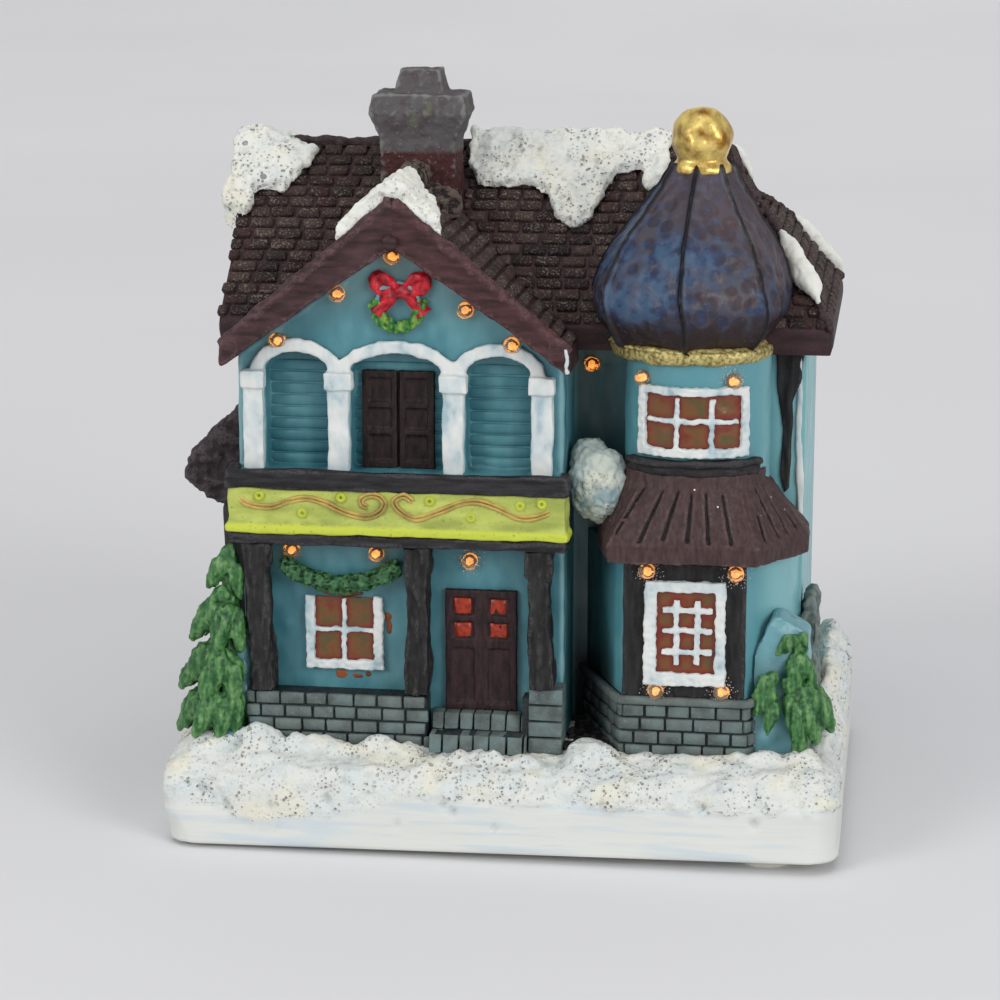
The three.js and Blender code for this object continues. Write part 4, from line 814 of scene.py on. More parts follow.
# Courses of shingles and bricks
def lay_course(shape, chance, start, way, length, up, out, rows):
    """One course of blocks from start along way: rows is (height, block, joint, proud, edge)."""
    height, block, joint, proud, edge = rows
    place = -chance.uniform(0.2, 0.9) * block
    while place < length:
        size = block * chance.uniform(0.86, 1.14)
        low, high = max(place, 0.0), min(place + size - joint, length)
        if high - low > 0.7:
            rise = proud * chance.uniform(0.8, 1.15)
            middle = (low + high) / 2
            centre = start + way * middle + up * (height / 2) + out * (rise / 2 - 0.3)
            axes = Matrix((way, up, out)).transposed().to_4x4()
            tilt = Matrix.Rotation(chance.uniform(-0.03, 0.03), 4, "Y")
            lean = Matrix.Rotation(chance.uniform(0.02, 0.09), 4, "X")
            size_matrix = Matrix.Diagonal((high - low, height, rise + 0.6, 1.0))
            matrix = Matrix.Translation(centre) @ axes @ tilt @ lean @ size_matrix
            add_block(shape, matrix, edge, chance.random())
        place += size


SHINGLE_ROW = (COURSE - SHINGLE_JOINT, SHINGLE_LENGTH, SHINGLE_JOINT, SHINGLE_PROUD, 0.26)
BRICK_ROW = (BRICK_COURSE - BRICK_JOINT, BRICK_LENGTH, BRICK_JOINT, BRICK_PROUD, 0.14)


def lay_slope(shape, seed, origin, way, up, height, spans):
    """Courses up a slope; spans(v) gives the stretches of a course at that height."""
    chance = random.Random(seed)
    way, up, origin = Vector(way).normalized(), Vector(up).normalized(), Vector(origin)
    out = way.cross(up)
    if out.z < 0:
        out = -out
    rows = int(height / COURSE)
    for row in range(rows + 1):
        v = row * COURSE + SHINGLE_JOINT / 2
        if v + COURSE * 0.6 > height:
            continue
        for low, high in spans(v + COURSE / 2):
            if high - low > 1.0:
                start = origin + up * v + way * low - out * SHINGLE_PROUD
                lay_course(shape, chance, start, way, high - low, up, out, SHINGLE_ROW)


MAIN_LENGTH = math.hypot(RIDGE_Y - ROOF_FRONT, RIDGE - EAVE)
HIP_LENGTH = math.hypot(HIP_RUN, RIDGE - EAVE)
GABLE_LENGTH = math.hypot(GABLE_HALF, GABLE_APEX - GABLE_TIP)


def front_spans(v):
    share = v / MAIN_LENGTH
    y = ROOF_FRONT + share * (RIDGE_Y - ROOF_FRONT)
    z = EAVE + share * (RIDGE - EAVE)
    hidden = max((GABLE_APEX - z) / GABLE_SLOPE - 0.6, 0.0)
    if CHIMNEY_FRONT < y < CHIMNEY_BACK:
        hidden = max(hidden, CHIMNEY_HALF)
    end = ROOF_RIGHT - HIP_RUN * share - ROOF_LEFT
    middle = GABLE_X - ROOF_LEFT
    return [(0.0, middle - hidden), (middle + hidden, end)] if hidden else [(0.0, end)]


def back_spans(v):
    return [(0.0, ROOF_RIGHT - HIP_RUN * v / MAIN_LENGTH - ROOF_LEFT)]


def hip_spans(v):
    inset = (RIDGE_Y - ROOF_FRONT) * v / HIP_LENGTH
    return [(inset, ROOF_BACK - ROOF_FRONT - inset)]


def gable_spans(v):
    z = GABLE_TIP + (GABLE_APEX - GABLE_TIP) * v / GABLE_LENGTH
    meets = ROOF_FRONT + max(z - EAVE, 0.0) / SLOPE_Y
    return [(0.0, meets - GABLE_FRONT + 0.4)]


def main_top(point):
    """The main roof's top over a place in plan."""
    rise = min(point.y - ROOF_FRONT, ROOF_BACK - point.y) * SLOPE_Y
    return EAVE + min(rise, (ROOF_RIGHT - point.x) * SLOPE_X)


def gable_top(point):
    return GABLE_APEX - abs(point.x - GABLE_X) * GABLE_SLOPE


def hip_point(eave_y, share):
    """A place on a hip's edge, from the eave's corner at 0 to the ridge's end at 1."""
    return Vector((ROOF_RIGHT - HIP_RUN * share, eave_y + (RIDGE_Y - eave_y) * share,
                   EAVE + (RIDGE - EAVE) * share))


def lower_top(shape, top, depth):
    for vert in shape.verts:
        if abs(vert.co.z - top(vert.co)) < 0.05:
            vert.co.z -= depth
    return shape


HIP_SAG, HIP_SAG_X, HIP_SAG_REACH = 3.0, 35.8, 2.8
SAG_FROM_FRONT, SAG_FROM_BACK = (-4.0, 5.0), (30.0, 17.0)  # y where it begins, and where it is full


def sag(shape):
    """The worn dip of the hip beside the ridge's end."""
    for vert in shape.verts:
        fall = math.exp(-((vert.co.x - HIP_SAG_X) / HIP_SAG_REACH) ** 2)
        share = part_way(vert.co.y, *SAG_FROM_FRONT) * part_way(vert.co.y, *SAG_FROM_BACK)
        if vert.co.z > EAVE - 1.0:
            vert.co.z -= HIP_SAG * fall * share
    return shape


def make_main_roof():
    core = lower_top(node_shape("main_roof"), main_top, SHINGLE_PROUD * 1.3)
    core = sag(recast(core, 0.8, 2))
    settle("main_roof_core", core, FASCIA, "board", "main_roof", sharp=40)
    shape = toned()
    rise = (0, RIDGE_Y - ROOF_FRONT, RIDGE - EAVE)
    lay_slope(shape, 11, (ROOF_LEFT, ROOF_FRONT, EAVE), (1, 0, 0), rise, MAIN_LENGTH, front_spans)
    fall = (0, RIDGE_Y - ROOF_BACK, RIDGE - EAVE)
    lay_slope(shape, 12, (ROOF_LEFT, ROOF_BACK, EAVE), (1, 0, 0), fall, MAIN_LENGTH, back_spans)
    hip = (-HIP_RUN, 0, RIDGE - EAVE)
    lay_slope(shape, 13, (ROOF_RIGHT, ROOF_FRONT, EAVE), (0, 1, 0), hip, HIP_LENGTH, hip_spans)
    roughen(sag(shape), 0.2, 1.1, 2)
    settle("main_roof_shingles", shape, SHINGLE, "shingle", sharp=60)
    cap = bmesh.new()
    add_box(cap, (ROOF_LEFT + 0.1, RIDGE_Y - 1.0, RIDGE - 1.4),
            (ROOF_RIGHT - HIP_RUN + 0.4, RIDGE_Y + 1.0, RIDGE + 0.2))
    for y in (ROOF_FRONT, ROOF_BACK):
        line = [hip_point(y, t / 8) - Vector((0.4, 0, 0.5)) for t in range(9)]
        add_rod(cap, line, [0.8] * 9, 8)
    cap = sag(rough_cast(cap, 0.34, 3, (0.45, 2.2, 3), (0.15, 0.8, 4)))
    settle("main_roof_ridge", mark_wear_and_hollow_shade(cap), ROOF_CORE, "board")


def lay_gable(chance):
    """The gable's shingles, and the row of their ends over the barge boards."""
    shape = toned()
    height = GABLE_APEX - GABLE_TIP
    for seed, side in ((21, -1), (22, 1)):
        origin = (GABLE_X + side * GABLE_HALF, GABLE_FRONT, GABLE_TIP)
        lay_slope(shape, seed, origin, (0, 1, 0), (-side * GABLE_HALF, 0, height),
                  GABLE_LENGTH, gable_spans)
    for side in (-1, 1):
        along_slope = Vector((-side * GABLE_HALF, 0, height)).normalized()
        out = Vector((side * height, 0, GABLE_HALF)).normalized()
        axes = Matrix((along_slope, Vector((0, 1, 0)), out)).transposed().to_4x4()
        foot = Vector((GABLE_X + side * GABLE_HALF, GABLE_FRONT - 0.2, GABLE_TIP))
        for row in range(int(GABLE_LENGTH / COURSE)):
            middle = foot + along_slope * (row + 0.5) * COURSE - out * 0.75
            middle.y += chance.uniform(-0.2, 0.3) + 3.4
            size = Matrix.Diagonal((COURSE - 0.35, 3.2, 1.5 + chance.uniform(-0.2, 0.3), 1.0))
            add_block(shape, Matrix.Translation(middle) @ axes @ size, 0.34, chance.random())
    roughen(shape, 0.18, 1.2, 5)
    settle("gable_roof_shingles", shape, SHINGLE, "shingle", sharp=60)


def make_gable_roll():
    """The rounded ridge and the saddle in front of the chimney."""
    roll = bmesh.new()
    line = [Vector((GABLE_X, GABLE_FRONT + 0.4 + t, GABLE_APEX - 0.7)) for t in range(0, 33, 4)]
    add_rod(roll, line, [1.5] * len(line), 10, (0, 0, 1))
    add_rod(roll, [Vector((GABLE_X - 0.3, y, z)) for y, z in
                   ((-27, 105.4), (-21, 106.2), (-15, 106.9), (-8.6, 107.4))], [1.9, 2.2, 2.4, 2.5],
            12, (0, 0, 1))
    add_ball(roll, (GABLE_X + 2.4, -10.2, 102.8), (5.4, 4.4, 3.4), 3)
    roll = cast(roll, 0.34, 3, (0.9, 2.2, 6), (0.35, 0.8, 7))
    settle("gable_roof_roll", roll, SHINGLE, "shingle")


def make_barge_boards(chance):
    for side, finish_of, name in ((-1, BARGE, "left"), (1, BARGE_RIGHT, "right")):
        board = bmesh.new()
        tip_x = GABLE_X + side * (GABLE_HALF - 0.3)
        past = GABLE_X - side * 0.9
        points = [(tip_x, UNDER_TIP - 0.1), (tip_x, GABLE_TIP - 0.7),
                  (past, GABLE_APEX - 0.9), (past, UNDER_APEX - 0.2)]
        add_facade(board, points, GABLE_FRONT - 0.4, GABLE_FRONT + 2.0)
        edge = [Vector((tip_x + (GABLE_X - tip_x) * t / 16, GABLE_FRONT + 0.4,
                        GABLE_TIP - 0.75 + (GABLE_APEX - GABLE_TIP) * t / 16)) for t in range(17)]
        add_rod(board, edge, [1.2 + chance.uniform(-0.14, 0.14) for _ in edge], 12)
        inner_x = GABLE_X + side * (GABLE_HALF - 3.4)
        add_facade(board, [(tip_x + side * 0.2, UNDER_TIP - 0.3), (tip_x + side * 0.2, GABLE_TIP - 1),
                           (inner_x, GABLE_TIP + 1.3), (inner_x, UNDER_TIP + 1.9)],
                   GABLE_FRONT - 1.0, GABLE_FRONT + 2.0)
        board = cast(board, 0.34, 4, (0.24, 4.2, 8), (0.13, 1.1, 10))
        settle("barge_board_" + name, board, finish_of, "board")


def make_gable_roof():
    core = lower_top(node_shape("gable_roof"), gable_top, SHINGLE_PROUD * 1.3)
    settle("gable_roof_core", soften(core, 0.35), FASCIA, "board", "gable_roof", sharp=40)
    chance = random.Random(23)
    lay_gable(chance)
    make_gable_roll()
    make_barge_boards(chance)
    boss = bmesh.new()
    add_ball(boss, (GABLE_X - 0.2, GABLE_FRONT - 1.0, UNDER_APEX + 0.1), (1.3, 0.9, 1.3), 3)
    settle("gable_boss", roughen(boss, 0.3, 1.2, 9), BARGE, "board")


make_main_roof()
make_gable_roof()


def make_chimney():
    skin = cast(node_shape("chimney"), 0.3, 2, (0.3, 3.6, 31), (0.16, 1.0, 32))
    settle("chimney_stack", skin, CHIMNEY_STONE, "stonework", "chimney")


make_chimney()


def make_lean_to():
    skin = cast(node_shape("lean_to_roof"), 0.5, 4, (0.9, 2.6, 41, (1.6, 1, 1)), (0.45, 1.0, 42))
    settle("lean_to_roof_skin", skin, LEAN_TO, "shingle", "lean_to_roof")
    skin = cast(node_shape("side_bay"), 0.6, 3, (0.5, 2.4, 43, (1, 1, 3)))
    settle("side_bay_wall", skin, BLACK, "board", "side_bay")


make_lean_to()


def lay_wall(shape, seed, start, end, low, high):
    """Brick courses up one upright face between two places in plan."""
    chance = random.Random(seed)
    start, end = Vector((*start, 0)), Vector((*end, 0))
    way = (end - start).normalized()
    up = Vector((0, 0, 1))
    out = way.cross(up)
    length = (end - start).length
    rows = max(1, round((high - low) / BRICK_COURSE))
    step = (high - low) / rows
    row_form = (step - BRICK_JOINT,) + BRICK_ROW[1:]
    for row in range(rows):
        place = start + up * (low + row * step + BRICK_JOINT / 2) - out * BRICK_PROUD
        lay_course(shape, chance, place, way, length, up, out, row_form)


# Walls
NICHE_BOARDS, NICHE_BOARD_LOW, NICHE_BOARD_STEP, NICHE_BOARD_TALL = 9, 61.7, 1.95, 1.7
NICHE_FIELDS = ((-41.5, -30.85), (-27.35, -12.05), (-8.55, 2.35))  # between columns and door
LAP_BOARDS, LAP_LOW, LAP_STEP, LAP_TALL = 24, 25.6, 2.45, 2.2
BACK_CORNER = 1.5  # width of the corner boards of the back


def make_walls():
    front = keep_side(node_shape("house_walls"), (0, WING_CUT, 0), (0, 1, 0))
    settle("wing_front", cast(front, 0.42, 3, (0.22, 3.4, 51)), TEAL, "wall", "house_walls")
    rest = keep_side(node_shape("house_walls"), (0, WING_CUT, 0), (0, -1, 0))
    settle("house_shell", soften(rest, 0.4), TEAL, "wall", sharp=40)
    siding = bmesh.new()
    for left, right in NICHE_FIELDS:
        for row in range(NICHE_BOARDS):
            z = NICHE_BOARD_LOW + row * NICHE_BOARD_STEP
            add_box(siding, (left, NICHE_BACK - 0.22, z),
                    (right, NICHE_BACK + 0.3, z + NICHE_BOARD_TALL), 0.16)
    roughen(siding, 0.1, 2.0, 52)
    settle("niche_siding", siding, TEAL, "wall", sharp=60)


def make_tower():
    bay = keep_side(node_shape("tower"), (0, 0, BAY_TOP), (0, 0, 1))
    settle("bay_wall", soften(bay, 0.35), TEAL, "wall", "tower", sharp=40)
    shaft = bmesh.new()
    add_turned(shaft, [(0, BAY_TOP), (TOWER_RADIUS, BAY_TOP), (TOWER_RADIUS, TOWER_TOP + 2),
                       (0, TOWER_TOP + 2)], (TOWER_X, TOWER_Y), 96)
    rings = [edge for edge in shaft.edges
             if abs(edge.verts[0].co.z - edge.verts[1].co.z) > 1.0]
    bmesh.ops.subdivide_edges(shaft, edges=rings, cuts=28)
    roughen(shaft, 0.16, 3.0, 53)
    settle("tower_shaft", shaft, TEAL, "wall", sharp=50)


def make_back():
    """Lap boards and a stone foot on the back wall."""
    boards = bmesh.new()
    for row in range(LAP_BOARDS):
        z = LAP_LOW + row * LAP_STEP
        add_box(boards, (HOUSE_LEFT + BACK_CORNER + 0.1, HOUSE_BACK - 0.3, z),
                (HOUSE_RIGHT - BACK_CORNER - 0.1, HOUSE_BACK + 0.3, z + LAP_TALL), 0.16)
    for x in (HOUSE_LEFT, HOUSE_RIGHT - BACK_CORNER):
        add_box(boards, (x, HOUSE_BACK - 0.3, STONE_TOP),
                (x + BACK_CORNER, HOUSE_BACK + 0.45, EAVE - 1.0), 0.16)
    roughen(boards, 0.14, 2.0, 54)
    settle("back_lap_boards", boards, TEAL, "wall", sharp=60)
    joint = bmesh.new()
    add_box(joint, (HOUSE_LEFT + 0.1, HOUSE_BACK - 0.4, 15.2),
            (HOUSE_RIGHT - 0.1, HOUSE_BACK + 0.1, 24.4), 0.1)
    settle("back_foot_joint", roughen(joint, 0.05, 2.0, 57), JOINT, "board", sharp=40)
    stones = toned()
    lay_wall(stones, 55, (HOUSE_RIGHT, HOUSE_BACK + 0.3), (HOUSE_LEFT, HOUSE_BACK + 0.3),
             DECK - 0.3, STONE_TOP)
    settle("back_foot_stones", roughen(stones, 0.16, 1.5, 56), STONE, "stonework", sharp=60)


make_walls()
make_tower()
make_back()


# Dome, ring and ball
DOME_SHARE = [(0.72, 0), (0.85, 0.062), (0.965, 0.177), (0.985, 0.287), (0.92, 0.412),
              (0.78, 0.57), (0.579, 0.727), (0.384, 0.888), (0.277, 1.0)]
DOME_LEAN = -1.5
SEAM_TURN, SEAM_TWIST = math.radians(1.3), math.radians(7.4)
GORES = 7


def lean_dome(shape):
    """The dome stands a little off its tower's middle and comes back to it at the ball."""
    for vert in shape.verts:
        share = part_way(vert.co.z, DOME_TOP, RING_TOP)
        vert.co.x += DOME_LEAN * min(share * 1.6, 1.0) * (1.0 if vert.co.z > RING_TOP else 0.6)
    return shape


def make_dome():
    line = smooth_line([(r * DOME_RADIUS, RING_TOP + z * DOME_HEIGHT, 0) for r, z in DOME_SHARE], 15)
    profile = [(0, RING_TOP)] + [(p.x, p.y) for p in line] + [(0, DOME_TOP)]
    dome = bmesh.new()
    add_turned(dome, profile, (TOWER_X, TOWER_Y), 392)
    seam = dome.verts.layers.float.new("seam")
    dome.normal_update()
    for vert in dome.verts:
        x, y = vert.co.x - TOWER_X, vert.co.y - TOWER_Y
        reach = math.hypot(x, y)
        if reach < 1.0:
            continue
        share = max((vert.co.z - RING_TOP) / DOME_HEIGHT, 0.0)
        angle = math.atan2(x, -y) - SEAM_TURN + SEAM_TWIST * share
        angle += 0.03 * noise.noise(Vector((0, 0, vert.co.z / 6)))
        gore = 2 * math.pi / GORES
        off = abs((angle + gore / 2) % gore - gore / 2) * reach
        groove = math.exp(-(off / 0.36) ** 2)
        puff = 0.9 * min(off / (gore * reach / 2), 1.0) ** 0.6
        near, _ = noise.voronoi(vert.co / 2.6)
        dimple = 0.22 * min(near[0], 0.7)
        hammer = 0.14 * noise.noise(vert.co / 1.6)
        vert[seam] = groove
        vert.co += vert.normal * (puff + dimple + hammer - 0.8 - 0.6 * groove)
    settle("dome_shell", lean_dome(dome), DOME, "dome", "dome", sharp=60)


def make_gold():
    ring = bmesh.new()
    profile = [(0, 1.4), (12.3, 1.4), (12.9, 1.8), (13.2, 2.8), (13.0, 3.8), (12.4, 4.3), (0, 4.3)]
    add_turned(ring, [(r, TOWER_TOP + z) for r, z in profile], (TOWER_X, TOWER_Y), 96)
    ring = rough_cast(ring, 0.26, 3, (0.45, 3.4, 61), (0.16, 0.8, 62))
    settle("gold_ring", mark_wear_and_hollow_shade(lean_dome(ring)), GOLD_RING, "gold", "dome_ring")
    ball = bmesh.new()
    centre = DOME_TOP + BALL_RADIUS - 0.5
    add_ball(ball, (TOWER_X, TOWER_Y, centre), (BALL_RADIUS,) * 3, 5)
    add_turned(ball, [(0, DOME_TOP - 0.7), (4.9, DOME_TOP - 0.7), (4.8, DOME_TOP + 0.5),
                      (4.1, DOME_TOP + 1.5), (0, DOME_TOP + 1.5)], (TOWER_X, TOWER_Y), 48)
    ball = recast(ball, 0.26, 4)
    roughen(ball, 0.7, 3.6, 63, bias=0.15, where=lambda p: min((p.z - DOME_TOP) / 3.0, 1.0))
    roughen(ball, 0.05, 1.3, 64)
    settle("gold_ball", mark_wear_and_hollow_shade(ball), GOLD_BALL, "gold", "finial_ball")


make_dome()
make_gold()


# Bay roof and the black band over it
BAY_EAVE_LINE = [(11.5, -14.3), (12.5, -23.8), (15.2, -35.0), (39.3, -35.0), (47.0, -23.8),
                 (46.6, -14.3)]
BAY_EDGE, BAY_FOOT = 51.9, 49.0
BAY_NECK = 12.9
BAY_RIGHT_WAY = Vector((47.0 - 39.3, -23.8 + 35.0, 0)).normalized()
FRONT_GROOVES = [  # across and up at the top, then at the eave
    (20.9, 60.7, 15.9, 52.9), (23.9, 60.6, 20.2, 52.2), (26.4, 60.7, 24.0, 52.6),
    (28.5, 60.3, 28.0, 52.2), (30.7, 60.7, 31.5, 52.2), (33.2, 60.3, 35.2, 52.2)]
RIGHT_GROOVES = [
    (3.6, 57.0, 2.3, 52.6), (5.0, 60.6, 6.2, 52.6), (6.9, 60.9, 8.9, 52.8), (9.4, 60.8, 11.7, 53.2)]
LEFT_GROOVES = [(4.0, 60.2, 3.0, 52.8), (6.4, 60.4, 6.0, 52.6), (8.6, 60.0, 9.0, 52.6)]


def fill_open(shape):
    rim = [edge for edge in shape.edges if edge.is_boundary]
    bmesh.ops.holes_fill(shape, edges=rim, sides=0)


def groove_share(across, up, grooves):
    """How deep a plank joint is cut at a place on a flat of the bay roof."""
    deepest = 0.0
    for top_x, top_z, low_x, low_z in grooves:
        if low_z < up < top_z:
            share = (top_z - up) / (top_z - low_z)
            width = 0.17 + 0.16 * share
            off = across - (top_x + (low_x - top_x) * share)
            ends = min((top_z - up) / 0.6, (up - low_z) / 0.5, 1.0)
            deepest = max(deepest, math.exp(-(off / width) ** 2) * ends)
    return deepest


def bay_groove(vert):
    normal = vert.normal
    if normal.y < -0.75:
        return groove_share(vert.co.x, vert.co.z, FRONT_GROOVES)
    if normal.x > 0.35:
        across = (vert.co - Vector((39.3, -35.0, 0))).dot(BAY_RIGHT_WAY)
        return groove_share(across, vert.co.z, RIGHT_GROOVES)
    if normal.x < -0.35:
        return groove_share(-15.0 - vert.co.y, vert.co.z, LEFT_GROOVES)
    return 0.0


def make_bay_roof():
    skirt = bmesh.new()
    loops = []
    for height, neck in ((BAND_BOTTOM + 0.6, True), (BAND_BOTTOM - 1.2, True),
                         (BAY_EDGE, False), (BAY_FOOT, False)):
        ring = []
        for (x0, y0), (x1, y1) in zip(BAY_EAVE_LINE, BAY_EAVE_LINE[1:]):
            for i in range(6):
                x, y = x0 + (x1 - x0) * i / 6, y0 + (y1 - y0) * i / 6
                if neck:
                    angle = math.atan2(y - TOWER_Y, x - TOWER_X)
                    radius = BAY_NECK + (0.4 if height < BAND_BOTTOM else 0.0)
                    x = min(TOWER_X + radius * math.cos(angle), TOWER_X + 11.2)
                    y = min(TOWER_Y + radius * math.sin(angle), HOUSE_FRONT - 0.3)
                ring.append(skirt.verts.new((x, y, height)))
        loops.append([skirt.edges.new(pair) for pair in zip(ring, ring[1:] + ring[:1])])
    for upper, lower in zip(loops, loops[1:]):
        bmesh.ops.bridge_loops(skirt, edges=upper + lower)
    fill_open(skirt)
    bmesh.ops.triangulate(skirt, faces=skirt.faces)
    skirt = rough_cast(skirt, 0.25, 2, (0.3, 4.0, 71), (0.12, 1.0, 72))
    skirt.normal_update()
    layer = skirt.verts.layers.float.new("seam")
    for vert in skirt.verts:
        vert[layer] = bay_groove(vert)
    for vert in skirt.verts:
        vert.co -= vert.normal * 0.55 * vert[layer]
    settle("bay_roof_skirt", mark_wear_and_hollow_shade(skirt), BAY_BROWN, "board", "bay_roof")


def make_band():
    band = bmesh.new()
    profile = [(11.7, BAND_BOTTOM + 0.2), (13.0, BAND_BOTTOM + 0.2), (13.3, BAND_BOTTOM + 0.9),
               (13.0, BAND_BOTTOM + 1.7), (13.7, BAND_TOP - 1.1), (13.5, BAND_TOP - 0.2),
               (11.7, BAND_TOP - 0.2)]
    add_turned(band, profile + [profile[0]], (TOWER_X, TOWER_Y), 60,
               math.radians(215), math.radians(110))
    fill_open(band)
    band = cast(band, 0.24, 3, (0.4, 2.4, 73, (2, 2, 1)))
    settle("black_band", band, BLACK_ACROSS, "trim_black", "sill_band")


make_bay_roof()
make_band()


# Trims of the front
def from_node(name, piece, material, slot, voxel, depth, size, seed, stretch=(1, 1, 1), rounds=3):
    skin = cast(node_shape(name), voxel, rounds, (depth, size, seed, stretch),
                (depth * 0.4, size * 0.35, seed + 1, stretch))
    settle(piece, skin, material, slot, name)


def make_trims():
    from_node("arcade", "white_arcade", WHITE, "trim_white", 0.25, 0.26, 1.9, 81, (1, 1, 2))
    from_node("upper_door", "balcony_door", DOOR, "door", 0.2, 0.12, 1.2, 83, (1, 1, 3), 2)
    from_node("front_door", "street_door", DOOR_RED, "door", 0.2, 0.12, 1.2, 85, (1, 1, 3), 2)
    from_node("balcony_panel", "green_panel", PANEL, "panel", 0.3, 0.3, 2.6, 87, (2, 1, 1))
    from_node("balcony_rail", "black_rail", BLACK_ACROSS, "trim_black", 0.3, 0.4, 2.8, 89, (3, 1, 1))
    from_node("porch_beam", "black_beam", BLACK_ACROSS, "trim_black", 0.32, 0.4, 2.2, 91, (4, 1, 1))
    for i, side in enumerate(("left", "middle", "right")):
        from_node("post_" + side, "hewn_post_" + side, BLACK, "trim_black", 0.28, 0.6, 1.6,
                  93 + 2 * i, (1, 1, 3))
    from_node("bay_surround", "black_surround", BLACK, "trim_black", 0.3, 0.2, 1.2, 99, (1, 1, 4))


SCROLL_LEFT = [(-45.0, 57.4), (-43.1, 56.4), (-39.8, 56.1), (-36.8, 57.1), (-33.8, 57.7),
               (-30.7, 57.0), (-27.5, 55.6), (-24.3, 54.9), (-22.0, 55.6), (-21.0, 57.1),
               (-21.8, 58.3), (-23.4, 58.5), (-24.7, 57.8), (-24.6, 56.9), (-23.7, 56.6)]
SCROLL_RIGHT = [(-16.3, 57.6), (-17.8, 58.6), (-19.4, 57.5), (-18.1, 55.8), (-15.7, 54.9),
                (-11.9, 56.2), (-8.6, 57.6), (-5.7, 58.0), (-2.6, 57.1), (0.8, 55.6),
                (3.5, 55.7), (5.9, 56.6)]
RING_DOTS = [(-41.6, 57.9), (-28.1, 58.0), (-34.5, 55.2), (-13.6, 57.8), (-6.9, 55.3),
             (1.1, 57.5), (4.6, 57.9)]
PANEL_FACE = -33.75


def make_scrolls():
    scroll = bmesh.new()
    for points in (SCROLL_LEFT, SCROLL_RIGHT):
        line = smooth_line([(x, PANEL_FACE, z) for x, z in points], 7)
        for offset in (-0.3, 0.3):
            moved = []
            for i, point in enumerate(line):
                way = heading(line, i)
                moved.append(point + Vector((-way.z, 0, way.x)) * offset)
            radii = [0.28 * min(1.0, 0.35 + 0.2 * min(i, len(line) - 1 - i)) for i in range(len(line))]
            add_rod(scroll, moved, radii, 6)
    roughen(scroll, 0.12, 0.9, 101)
    settle("panel_scrolls", scroll, SCROLL, "gold", sharp=80)
    dots = bmesh.new()
    for x, z in RING_DOTS:
        profile = [(0.18, 0.0), (0.32, 0.24), (0.55, 0.34), (0.78, 0.2), (0.88, -0.1)]
        before = set(dots.verts)
        add_turned(dots, profile, (0, 0), 18)
        made = [vert for vert in dots.verts if vert not in before]
        place = Matrix.Translation((x, PANEL_FACE, z)) @ Matrix.Rotation(math.pi / 2, 4, "X")
        bmesh.ops.transform(dots, matrix=place, verts=made)
    settle("panel_ring_dots", dots, RING_DOT, "panel", sharp=80)


make_trims()
make_scrolls()


# Windows
def wobble(skin, seed):
    """A hand-painted line: its run wanders a little to the side."""
    for vert in skin.verts:
        place = Vector((vert.co.x, 0, vert.co.z)) / 2.2 + Vector((seed, 0, 0))
        vert.co.x += 0.22 * noise.noise(place)
        vert.co.z += 0.22 * noise.noise(place + Vector((0, 9, 0)))
    return skin


def bend_round_tower(shape, radius):
    """Wraps a flat front view round the tower; y becomes the distance from its face."""
    for vert in shape.verts:
        angle = (vert.co.x - TOWER_X) / radius
        reach = radius - vert.co.y
        vert.co.x = TOWER_X + reach * math.sin(angle)
        vert.co.y = TOWER_Y - reach * math.cos(angle)
    return shape


def pane_plate(x0, x1, z0, z1, front, back):
    plate = bmesh.new()
    bmesh.ops.create_grid(plate, x_segments=36, y_segments=36, size=0.5)
    bmesh.ops.rotate(plate, verts=plate.verts, cent=(0, 0, 0),
                     matrix=Matrix.Rotation(math.pi / 2, 3, "X"))
    bmesh.ops.scale(plate, vec=(x1 - x0, 1, z1 - z0), verts=plate.verts)
    bmesh.ops.translate(plate, vec=((x0 + x1) / 2, front, (z0 + z1) / 2), verts=plate.verts)
    roughen(plate, 0.14, 1.8, 7)
    push_out(plate, plate.faces[:], (0, back - front, 0))
    return plate


def mark_rim(plate, bars):
    """How close each point of the panes lies to a bar, for the rusty rims."""
    rim = plate.verts.layers.float.new("rim")
    for vert in plate.verts:
        gaps = [max(x0 - vert.co.x, vert.co.x - x1, z0 - vert.co.z, vert.co.z - z1, 0.0)
                for x0, x1, z0, z1 in bars]
        vert[rim] = max(0.0, 1.0 - min(gaps) / 1.1)
    return plate


def make_window(name, node_name, frame_bars, muntins, blobs, face, depth, seed, bend=False):
    x0, x1 = min(b[0] for b in frame_bars), max(b[1] for b in frame_bars)
    z0, z1 = min(b[2] for b in frame_bars), max(b[3] for b in frame_bars)
    bars = bmesh.new()
    for group, proud in ((frame_bars, depth), (muntins, depth * 0.75)):
        for left, right, low, high in group:
            add_box(bars, (left, face - proud, low), (right, face, high))
    for x, z, size in blobs:
        add_ball(bars, (x, face - depth * 0.45, z), (size, depth * 0.5, size), 2)
    bars = wobble(recast(bars, 0.16, 3), seed)
    roughen(bars, 0.2, 0.8, seed)
    plate = pane_plate(x0 + 0.5, x1 - 0.5, z0 + 0.5, z1 - 0.3, face - depth * 0.34, face + 0.2)
    mark_rim(plate, frame_bars + muntins)
    if bend:
        for shape in (bars, plate):
            bmesh.ops.translate(shape, verts=shape.verts, vec=(0, -face, 0))
            bend_round_tower(shape, TOWER_RADIUS)
    settle(name + "_bars", mark_wear_and_hollow_shade(bars), WHITE, "trim_white", node_name)
    settle(name + "_panes", plate, PANE, "panel", sharp=70)


